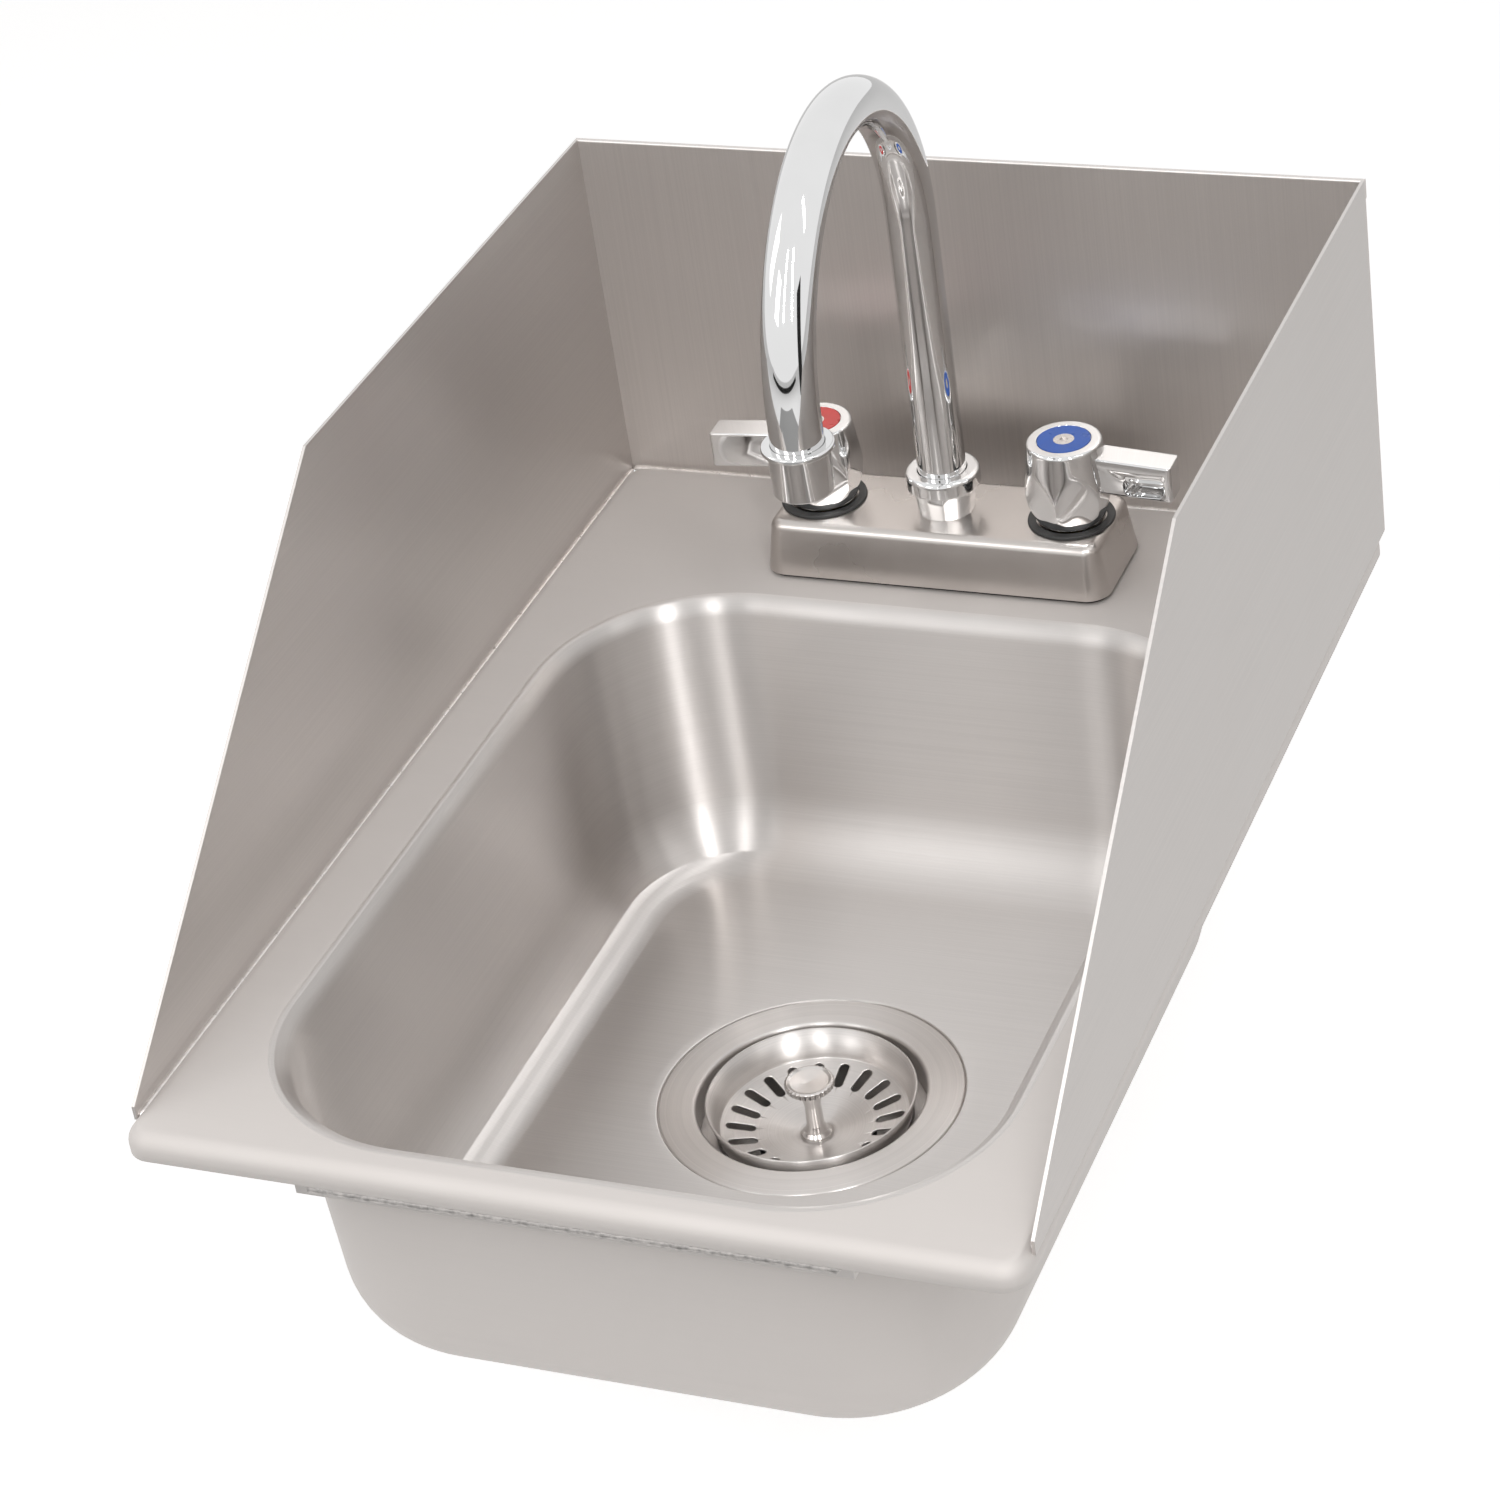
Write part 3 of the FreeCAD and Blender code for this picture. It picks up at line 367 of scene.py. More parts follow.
def stretched(tree, vector, scale):
    """Coordinates scaled differently along each axis, so that noise on them is drawn out into lines."""
    return add_node(tree, "ShaderNodeMapping", {"Vector": vector, "Scale": scale}).outputs["Vector"]


CLOUD_SCALE, WANDER_SCALE = 14.0, 5.0
DENT_STRENGTH, DENT_DEPTH = 0.25, 0.002
SCRATCH_STRENGTH, SCRATCH_DEPTH = 0.10, 0.0001
SKIN_DEPTH = 0.0006
QUARTER_TURN = 0.25


def brushed_steel(name, grain, shade, rough=(0.32, 0.42), anisotropy=0.85, lines=0.06):
    """Sheet steel with fine lines: grain gives the tree's line coordinates and the direction of the lines."""
    material, tree, shader = new_material(name)
    place = add_node(tree, "ShaderNodeTexCoord").outputs["Object"]
    line_place, tangent = grain(tree)
    streaks = noise(tree, line_place, 1.0, 3.0)
    clouds = noise(tree, place, CLOUD_SCALE, 2.0)
    wander = noise(tree, place, WANDER_SCALE, 1.0)
    both = add_node(tree, "ShaderNodeMath", {0: streaks, 1: clouds}, operation="ADD").outputs[0]
    half = add_node(tree, "ShaderNodeMath", {0: both, 1: 0.5}, operation="MULTIPLY").outputs[0]
    tree.links.new(spread(tree, half, *rough), shader.inputs["Roughness"])
    tree.links.new(tinted(tree, streaks, shade, lines), shader.inputs["Base Color"])
    dent = add_node(tree, "ShaderNodeBump",
                    {"Height": wander, "Strength": DENT_STRENGTH, "Distance": DENT_DEPTH})
    scratch = add_node(tree, "ShaderNodeBump", {"Height": streaks, "Strength": SCRATCH_STRENGTH,
                                                "Distance": SCRATCH_DEPTH, "Normal": dent.outputs["Normal"]})
    tree.links.new(scratch.outputs["Normal"], shader.inputs["Normal"])
    tree.links.new(tangent, shader.inputs["Tangent"])
    shader.inputs["Metallic"].default_value = 1.0
    shader.inputs["Anisotropic"].default_value = anisotropy
    shader.inputs["Anisotropic Rotation"].default_value = QUARTER_TURN
    return material


def straight_grain(scale, direction):
    """Lines that run one way through the piece: coordinates drawn out along the direction."""
    def grain(tree):
        place = add_node(tree, "ShaderNodeTexCoord").outputs["Object"]
        x, y, z = direction
        way = add_node(tree, "ShaderNodeCombineXYZ", {"X": x, "Y": y, "Z": z})
        return stretched(tree, place, scale), way.outputs["Vector"]
    return grain


def mapped_grain(layer, scale):
    """Lines that follow a UV map whose first coordinate runs along them, in metres."""
    def grain(tree):
        place = add_node(tree, "ShaderNodeUVMap", uv_map=layer).outputs["UV"]
        way = add_node(tree, "ShaderNodeTangent", direction_type="UV_MAP", uv_map=layer)
        return stretched(tree, place, scale), way.outputs["Tangent"]
    return grain


def turned_grain(centre, scale):
    """Fine rings about a vertical axis: lines by the distance from the axis and by the height."""
    def grain(tree):
        place = add_node(tree, "ShaderNodeTexCoord").outputs["Object"]
        moved = add_node(tree, "ShaderNodeMapping", {"Vector": place, "Location": (-centre.x, -centre.y, 0)})
        parts = add_node(tree, "ShaderNodeSeparateXYZ", {"Vector": moved.outputs["Vector"]})
        flat = add_node(tree, "ShaderNodeCombineXYZ", {"X": parts.outputs["X"], "Y": parts.outputs["Y"]})
        radius = add_node(tree, "ShaderNodeVectorMath", {0: flat.outputs["Vector"]}, operation="LENGTH")
        rings = add_node(tree, "ShaderNodeCombineXYZ",
                         {"X": radius.outputs["Value"], "Y": parts.outputs["Z"]})
        back = add_node(tree, "ShaderNodeMath", {0: parts.outputs["Y"], 1: -1.0}, operation="MULTIPLY")
        way = add_node(tree, "ShaderNodeCombineXYZ", {"X": back.outputs[0], "Y": parts.outputs["X"]})
        return stretched(tree, rings.outputs["Vector"], scale), way.outputs["Vector"]
    return grain


def plain_metal(name, shade, rough, scale=60.0, drift=0.04, bump=0.04, metallic=1.0):
    """Plated, cast or machined metal: a colour and a gloss that drift with noise, and a faint uneven skin."""
    material, tree, shader = new_material(name)
    place = add_node(tree, "ShaderNodeTexCoord").outputs["Object"]
    clouds = noise(tree, place, scale, 3.0)
    tree.links.new(tinted(tree, clouds, shade, drift), shader.inputs["Base Color"])
    tree.links.new(spread(tree, clouds, *rough), shader.inputs["Roughness"])
    skin = add_node(tree, "ShaderNodeBump", {"Height": clouds, "Strength": bump, "Distance": SKIN_DEPTH})
    tree.links.new(skin.outputs["Normal"], shader.inputs["Normal"])
    shader.inputs["Metallic"].default_value = metallic
    return material


def scaled(shade, factor):
    """A colour made lighter or darker by a factor, with no part above one."""
    return tuple(min(1.0, c * factor) for c in shade)


def make_finishes():
    """Every finish of the sink, by name, made once."""
    tones = bpy.context.scene.sink_finish
    steel = tuple(tones.steel)
    across, along = 1500.0, 9.0
    drawn = mapped_grain(GRAIN_LAYER, (along, across, 1))
    level = straight_grain((1, along, across), (0, 1, 0))
    upright = straight_grain((across, 1, along), (0, 0, 1))
    rings = turned_grain(DRAIN, (across, across, 1))
    return {
        "bowl": brushed_steel("brushed_bowl", drawn, steel, (0.36, 0.44), 1.0, 0.03),
        "side": brushed_steel("brushed_side", level, steel, (0.36, 0.46), 0.6, 0.03),
        # The back splash takes the steel made a tenth lighter: painted light that lifts the whole splash
        "back": brushed_steel("brushed_back_painted_light", upright, scaled(steel, 1.1), (0.45, 0.53), 0.7, 0.03),
        "satin": brushed_steel("satin_sheet", drawn, steel, (0.72, 0.8), 0.2, 0.015),
        "turned": brushed_steel("turned_steel", rings, steel, (0.3, 0.4)),
        "rail": plain_metal("rail_steel", steel, (0.3, 0.45)),
        "bead": plain_metal("weld_bead", scaled(steel, 1.15), (0.25, 0.45), 400.0, 0.1, 0.3),
        "ground": plain_metal("ground_weld", scaled(steel, 0.8), (0.35, 0.6), 500.0, 0.3, 0.6),
        "cast": plain_metal("satin_cast", tuple(tones.cast), (0.26, 0.32), 30.0, 0.03, 0.02),
        "chrome": plain_metal("polished_chrome", tuple(tones.chrome), (0.03, 0.05), 40.0, 0.02, 0.003),
        "screw": plain_metal("screw_steel", steel, (0.2, 0.35), 300.0),
        "post": plain_metal("post_steel", steel, (0.12, 0.2), 50.0, 0.03, 0.01),
        "hot": plain_metal("hot_index", tuple(tones.hot), (0.25, 0.4), 200.0, 0.06, 0.03, 0.0),
        "cold": plain_metal("cold_index", tuple(tones.cold), (0.25, 0.4), 200.0, 0.06, 0.03, 0.0),
        # Near black for the rings under the hubs: partly a real ring, partly painted shade for the shadow in
        # the gap under each hub
        "dark": plain_metal("dark_plastic", (0.035, 0.035, 0.035), (0.35, 0.5), 200.0, 0.15, 0.05, 0.0),
        "rubber": plain_metal("black_rubber", tuple(tones.rubber), (0.55, 0.75), 300.0, 0.2, 0.1, 0.0),
        "brass": plain_metal("bare_brass", tuple(tones.brass), (0.22, 0.38), 120.0, 0.08, 0.06),
        "zinc": plain_metal("cast_zinc", (0.5, 0.5, 0.49), (0.4, 0.55), 250.0, 0.1, 0.15),
        "plastic": plain_metal("grey_plastic", tuple(tones.plastic), (0.4, 0.55), 150.0, 0.05, 0.05, 0.0),
    }


FINISHES = {}


def dress(node, finish):
    """Gives a CAD node one of the finishes."""
    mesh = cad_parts[node].data
    mesh.materials.clear()
    mesh.materials.append(FINISHES[finish])


class SINK_OT_finishes(bpy.types.Operator):
    """Make the finishes and give them to the nodes that show their CAD shape"""

    bl_idname = "sink.finishes"
    bl_label = "Finishes"

    def execute(self, context):
        FINISHES.update(make_finishes())
        plain = {
            "side": ("left_splash", "right_splash"), "back": ("back_splash",),
            "rail": ("front_rail", "left_rail", "right_rail", "hot_washer", "cold_washer"),
            "rubber": ("base_gasket", "spout_seal_lower", "spout_seal_upper", "strainer_gasket",
                       "basket_stopper"),
            "brass": ("hot_shank", "cold_shank", "hot_locknut", "cold_locknut", "hot_valve", "cold_valve",
                      "hot_stem", "cold_stem"),
            "zinc": ("strainer_locknut", "coupling_nut"), "chrome": ("tailpiece",),
            "plastic": ("friction_ring", "tailpiece_washer", "aerator_insert"),
            "screw": ("hot_screw", "cold_screw"), "hot": ("hot_index",), "cold": ("cold_index",),
        }
        for finish, nodes in plain.items():
            for node in nodes:
                dress(node, finish)
        return {"FINISHED"}


EDGE_STEPS, ROUND_STEPS, RECESS_STEPS = 9, 16, 5
WALL_ROWS, DECK_ROWS, FLOOR_ROWS = 60, 8, 16
# Straight runs that only give the rounds between them a direction
DECK_RUN, FLOOR_RUN = 0.02, 0.05
RECESS_RING, RECESS_ROUND, RECESS_SLOPE = 0.004, 0.0007, 0.0008
# Rows of the rounds beside the deck and the floor that share their straight grain
DECK_MARGIN, FLOOR_MARGIN = 3, 14
FRONT_WEIGHT = 10


def between(first, last, count):
    """Rings set evenly between two rings, both left out: first * (1 - t) + last * t."""
    t = np.linspace(0, 1, count)[1:-1, None, None]
    return first * (1 - t) + last * t


def bowl_rings(sheet):
    """The drawn sheet as rounded rectangles, and the ranges of rows whose grain runs straight.

    The rings go from the skirt's foot over the edge's quarter circle, the deck, the rim, the leaning wall and
    the floor to the recess and the drain's hole. Deck and floor are rings set between their neighbours.
    """
    deck_x, deck_y, top = DECK_HIGH.x, DECK_HIGH.y, DECK_HIGH.z
    roll = sheet.edge_roll
    a = np.linspace(0, math.pi / 2, EDGE_STEPS)
    inset = np.concatenate([[0, 0], roll * (1 - np.cos(a[1:]))])
    height = np.concatenate([[0, top - roll], top - roll + roll * np.sin(a[1:])])
    edge = rounded_rings(deck_x - inset, deck_y - inset, sheet.deck_corner - inset, 0 * inset, height)

    bowl_y = -deck_y + sheet.bowl_setback + sheet.bowl_length / 2
    floor = top - sheet.bowl_depth
    foot = (floor - top) * math.tan(sheet.bowl_draft)
    reach = sheet.rim_roll * math.tan((math.pi / 2 - sheet.bowl_draft) / 2)
    side = [(reach + DECK_RUN, top), (0, top, sheet.rim_roll), (foot, floor, sheet.floor_round),
            (foot - FLOOR_RUN, floor)]
    wall = resampled(rounded_path(side, ROUND_STEPS)[1:-1], WALL_ROWS)
    spread_out = wall[:, 0]
    bowl = rounded_rings(sheet.bowl_width / 2 + spread_out, sheet.bowl_length / 2 + spread_out,
                         sheet.bowl_corner + spread_out, bowl_y + 0 * spread_out, wall[:, 1])
    deck = between(edge[-1:], bowl[:1], DECK_ROWS)

    around = np.arctan2(bowl[-1, :, 1] - DRAIN.y, bowl[-1, :, 0] - DRAIN.x)[None, :]
    ring, recess = sheet.recess_radius, floor - sheet.recess_depth
    step = rounded_path([(ring + RECESS_RING, floor), (ring, floor, RECESS_ROUND),
                         (ring - RECESS_SLOPE, recess, RECESS_ROUND), (sheet.drain_hole, recess)],
                        RECESS_STEPS)
    radius, depth = step[:, :1], step[:, 1:]
    drain = np.stack([DRAIN.x + radius * np.cos(around), DRAIN.y + radius * np.sin(around),
                      depth + 0 * around], -1)
    floor_rows = between(bowl[-1:], drain[:1], FLOOR_ROWS)
    rings = np.concatenate([edge, deck, bowl, floor_rows, drain])
    deck_end = len(edge) + len(deck)
    straight = [(len(edge) - DECK_MARGIN, deck_end + DECK_MARGIN),
                (deck_end + len(bowl) - FLOOR_MARGIN, len(rings))]
    return rings, straight


def grain_map(mesh, faces, points, flat_rows):
    """A UV map in metres: along a ring and down the profile, or plain X and Y on the deck and the floor."""
    rows, columns = points.shape[:2]
    gap = np.linalg.norm(np.roll(points, -1, axis=1) - points, axis=2)
    around = np.concatenate([np.zeros((rows, 1)), np.cumsum(gap, axis=1)], axis=1)
    # The front's middle, where x is near zero and y is least
    start = np.argmin(np.abs(points[0, :, 0]) + FRONT_WEIGHT * points[0, :, 1])
    along = np.abs((around[:, :-1] - around[:, start:start + 1] + around[:, -1:] / 2) % around[:, -1:]
                   - around[:, -1:] / 2)
    down = np.cumsum(np.linalg.norm(np.diff(points[:, start], axis=0, prepend=points[:1, start]), axis=1))
    ring_map = np.stack([along, down[:, None] + 0 * along], -1).reshape(-1, 2)
    flat_map = points[..., :2].reshape(-1, 2)
    row = faces[:, :1] // columns
    is_flat = np.any([(row >= first) & (row < last) for first, last in flat_rows], axis=0)[..., None]
    layer = mesh.uv_layers.new(name=GRAIN_LAYER)
    chosen = np.where(is_flat, flat_map[faces], ring_map[faces])
    layer.data.foreach_set("uv", chosen.astype(np.float32).ravel())


class SINK_OT_bowl(bpy.types.Operator):
    """Draw the deck and bowl as one sheet"""

    bl_idname = "sink.bowl"
    bl_label = "Deck and bowl"

    def execute(self, context):
        sheet = context.scene.sink_sheet
        points, flat_rows = bowl_rings(sheet)
        faces = grid_faces(*points.shape[:2])
        bowl = new_piece("drawn_bowl", points, faces, FINISHES["bowl"], "sink",
                         ("sink_bowl",), closed=False)
        grain_map(bowl.data, faces, points, flat_rows)
        bowl.data.materials.append(FINISHES["satin"])
        deck_end = flat_rows[0][1] - DECK_MARGIN
        on_deck = faces[:, 0] // points.shape[1] < deck_end
        bowl.data.polygons.foreach_set("material_index", on_deck.astype(np.int32))
        wall = bowl.modifiers.new("sheet", "SOLIDIFY")
        wall.material_offset = 1
        wall.thickness = sheet.thickness
        wall.offset = -1.0
        wall.use_even_offset = True
        return {"FINISHED"}


def swept(path, side, lift, radius_x, radius_y, count=10):
    """A round section carried along a path: centre + side * rx cos a + lift * ry sin a."""
    a = np.linspace(0, 2 * math.pi, count, endpoint=False)[None, :, None]
    radius_x, radius_y = (np.reshape(r, (-1, 1, 1)) for r in (radius_x, radius_y))
    return path[:, None] + side[:, None] * radius_x * np.cos(a) + lift[:, None] * radius_y * np.sin(a)


BEAD_STEP, BEAD_SIDES, BEAD_END = 0.0016, 8, 0.02
FINE_RIPPLE, FINE_TURN = 0.10, 1.9
SLOW_RIPPLE, SLOW_TURN, SLOWER_TURN = 0.12, 91.0, 37.0
# Places of the beads, with BEAD_SINK and RAIL_BEAD_SHARE as shares of a bead's radius
BEAD_DROP, BEAD_SINK, BEAD_GAP = 0.002, 0.4, 0.001
RAIL_BEAD_DROP, RAIL_BEAD_INSET, RAIL_BEAD_SHARE = 0.005, 0.004, 1.4


def bead_piece(name, start, end, radius, finish="bead"):
    """A weld bead between two points: a round section that ripples by a fine wave and two slow ones."""
    start, end = np.array(start), np.array(end)
    count = int(np.linalg.norm(end - start) / BEAD_STEP)
    t = np.linspace(0, 1, count)[:, None]
    path = start * (1 - t) + end * t
    way = unit(end - start)
    lift = np.array([0.0, 0.0, 1.0])
    side = np.cross(way, lift)
    t = t[:, 0]
    fine = FINE_RIPPLE * np.sin(t * count * FINE_TURN)
    slow = SLOW_RIPPLE * np.sin(t * SLOWER_TURN) * np.sin(t * SLOW_TURN)
    ripple = radius * (1 + fine + slow)
    ripple[[0, -1]] = radius * BEAD_END
    points = swept(path, side + 0 * path, lift + 0 * path, ripple, ripple, BEAD_SIDES)
    new_piece(name, points, grid_faces(count, BEAD_SIDES), FINISHES[finish], "sink",
              sharp=60)


class SINK_OT_welds(bpy.types.Operator):
    """Lay the weld beads along the splash guards' feet and the front rail"""

    bl_idname = "sink.welds"
    bl_label = "Weld beads"

    def execute(self, context):
        sheet = context.scene.sink_sheet
        low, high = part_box("left_splash")
        inner_x = DECK_HIGH.x - sheet.thickness
        level = DECK_HIGH.z - BEAD_DROP
        sunk = sheet.bead * BEAD_SINK
        for name, sign in (("left_bead", -1), ("right_bead", 1)):
            x = sign * (inner_x - sunk)
            bead_piece(name, (x, low.y + BEAD_GAP, level), (x, high.y - BEAD_GAP, level), sheet.bead)
        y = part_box("back_splash")[0].y - sunk
        bead_piece("back_bead", (-inner_x, y, level), (inner_x, y, level), sheet.bead)
        rail_low, rail_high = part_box("front_rail")
        level = (rail_low.z + 3 * min(rail_high.z, 0.0)) / 4 - RAIL_BEAD_DROP
        start = (rail_low.x + RAIL_BEAD_INSET, rail_low.y, level)
        end = (rail_high.x - RAIL_BEAD_INSET, rail_low.y, level)
        bead_piece("front_rail_bead", start, end, sheet.bead * RAIL_BEAD_SHARE, "ground")
        return {"FINISHED"}


BASE_FOOT = 0.0008


class SINK_OT_faucet_base(bpy.types.Operator):
    """Cast the faucet's body"""

    bl_idname = "sink.faucet_base"
    bl_label = "Faucet body"

    def execute(self, context):
        faucet = context.scene.sink_faucet
        half_x, half_y = BASE_HIGH.x, (BASE_HIGH.y - BASE_LOW.y) / 2
        lean = math.tan(faucet.base_draft)
        height = BASE_HIGH.z - BASE_LOW.z
        side = rounded_path([(half_y, 0), (0, 0), (0, BASE_FOOT), (height * lean, height, faucet.base_round),
                             (half_y, height)])
        inset, level = side[:, 0], BASE_LOW.z + side[:, 1]
        rings = rounded_rings(half_x - inset, half_y - inset, np.maximum(faucet.base_corner - inset, 0),
                              FAUCET.y + 0 * inset, level)
        new_piece("cast_body", rings, grid_faces(*rings.shape[:2]), FINISHES["cast"], "sink",
                  ("faucet_base",))
        return {"FINISHED"}


FLAT_SOFTNESS = 0.00025


def flat_sided(count, flat, foot, lean, top=math.inf):
    """Changes a turned radius up to a height: the soft lesser of it and a ring of flats that lean outwards.

    The soft lesser of p and q is -s log(exp(-p / s) + exp(-q / s)), where s is the softness.
    """
    def change(radius, height, a):
        half = math.pi / count
        from_flat = (a + half) % (2 * half) - half
        side = (flat + (height - foot) * lean) / np.cos(from_flat)
        lesser = -FLAT_SOFTNESS * np.logaddexp(-radius / FLAT_SOFTNESS, -side / FLAT_SOFTNESS)
        return np.where(height > top, radius, lesser)
    return change


LOOP_STEPS, EDGE_COLUMNS = 6, 8
# Share of the hub's foot at which the lever starts inside it
LEVER_ROOT = 0.6
ROOT_ROUND, TIP_ROUND = 0.0002, 0.0006
HOLLOW_EDGE, HOLLOW_LIP, HOLLOW_FOOT = 0.0004, 0.0001, 0.0006


def closed_loop(corners):
    """Points round a closed outline of rounded corners, from the middle of its last side."""
    middle = [(corners[-1][k] + corners[0][k]) / 2 for k in (0, 1)]
    return rounded_path([middle, *corners, middle], LOOP_STEPS)[:-1]


def lever_surface(faucet, hub_top):
    """The lever as outlines (x, z) side by side, from its plain face to its hollow one, then into the hollow.

    Near a face the outline draws in by e - sqrt(e^2 - d^2), where d is the distance past the round's start.
    """
    half, tip, rim, nose = faucet.lever_width / 2, faucet.lever_length, faucet.lever_round, faucet.lever_tip
    root = faucet.hub_flat * LEVER_ROOT
    head = hub_top - faucet.lever_drop
    fall = head - faucet.lever_slope
    deep = faucet.lever_depth
    drawn_in = lambda y, e: e - math.sqrt(max(0.0, e * e - max(0.0, abs(y) - half + e) ** 2))

    def plate(y):
        edge, end = drawn_in(y, rim), tip - drawn_in(y, nose)
        return closed_loop([(root, head - deep + edge, ROOT_ROUND), (end, fall - deep + edge, TIP_ROUND),
                            (end, fall - edge, TIP_ROUND), (root, head - edge, ROOT_ROUND)])

    def hollow(more):
        start, end = tip - faucet.recess_end - faucet.recess_length - more, tip - faucet.recess_end + more
        low, high = fall - deep + faucet.recess_foot - more, fall - faucet.recess_top + more
        corner = faucet.recess_corner + more
        return closed_loop([(start, low, corner), (end, low, corner), (end, high, corner),
                            (start, high, corner)])

    bend = np.sin(np.linspace(math.pi / 2, 0, EDGE_COLUMNS))
    sides = np.concatenate([half - nose * (1 - bend), -(half - nose * (1 - bend))[::-1]])
    floor = half - faucet.recess_wall
    rows = [(y, plate(y)) for y in sides]
    rows += [(-half, hollow(HOLLOW_EDGE)), (-half + HOLLOW_LIP, hollow(HOLLOW_LIP)),
             (-half + HOLLOW_EDGE, hollow(0.0)), (floor - HOLLOW_FOOT, hollow(0.0)),
             (floor, hollow(-HOLLOW_FOOT))]
    points = np.array([[(x, y, z) for x, z in loop] for y, loop in rows])
    count = points.shape[1]
    faces = grid_faces(*points.shape[:2]).tolist()
    last = (len(rows) - 1) * count
    return points, faces + [list(range(count)), list(range(last, last + count))]


HUB_FLATS = 6
# Millimetres, as in every turned outline, where a third number is the round of the corner
HUB_BORE, HUB_ROOF = 10.3, 6.0
INDEX_SEAT, INDEX_GAP, INDEX_FOOT_GAP = 1.2, 0.25, 0.15
SKIRT_BORE, SKIRT_TAPER = 13.7, 0.3


class SINK_OT_handles(bpy.types.Operator):
    """Shape both handles and the dark rings under them"""

    bl_idname = "sink.handles"
    bl_label = "Handles"

    def execute(self, context):
        faucet = context.scene.sink_faucet
        foot, top = faucet.hub_foot / MM, (faucet.hub_foot + faucet.hub_height) / MM
        flat, wide, crown = faucet.hub_flat / MM, faucet.hub_wide / MM, faucet.hub_top / MM
        index = faucet.index_radius / MM
        hub = [(HUB_BORE, foot), (flat, foot, 0.7), (wide, foot + faucet.hub_wide_at / MM, 4.0),
               (crown, top, 1.5), (index + INDEX_GAP, top, 0.3), (index + INDEX_FOOT_GAP, top - INDEX_SEAT),
               (0.0, top - INDEX_SEAT), (0.0, top - HUB_ROOF), (HUB_BORE, top - HUB_ROOF)]
        flats = flat_sided(HUB_FLATS, faucet.hub_flat, faucet.hub_foot, faucet.hub_lean)
        edge, skirt_top = faucet.skirt_radius / MM, faucet.skirt_height / MM
        skirt = [(SKIRT_BORE, 0), (edge, 0, 0.2), (edge - SKIRT_TAPER, skirt_top, 0.5),
                 (SKIRT_BORE, skirt_top)]
        shape, faces = lever_surface(faucet, faucet.hub_foot + faucet.hub_height)
        for name, turn in (("hot", math.pi), ("cold", 0.0)):
            centre = middle_of(f"{name}_index")
            centre.z = BASE_HIGH.z
            turned_piece(f"{name}_hub", hub, centre, FINISHES["chrome"], f"{name}_tap",
                         (f"{name}_handle",), count=180, change=flats, fine=90)
            # The ring's near-black colour is partly painted shade for the shadow and gap under the hub
            turned_piece(f"{name}_skirt", skirt, centre, FINISHES["dark"], "sink",
                         (f"{name}_skirt_ring",))
            c, s = math.cos(turn), math.sin(turn)
            swing = np.array([[c, -s, 0], [s, c, 0], [0, 0, 1]])
            lever = shape @ swing.T + np.array(centre)
            new_piece(f"{name}_lever", lever, faces, FINISHES["chrome"], f"{name}_tap")
        return {"FINISHED"}


BEND_STEPS, TUBE_SIDES = 97, 64
NUT_FLATS = 12
# Millimetres of the nut and the aerator
TUBE_GAP, FLUTE_END, GRIP_END = 0.06, 0.1, 0.2
RING_UNDERCUT, RING_RISE = 0.4, 0.8
AERATOR_BORE, AERATOR_TAPER, LIP_RISE = 8.9, 0.3, 0.6


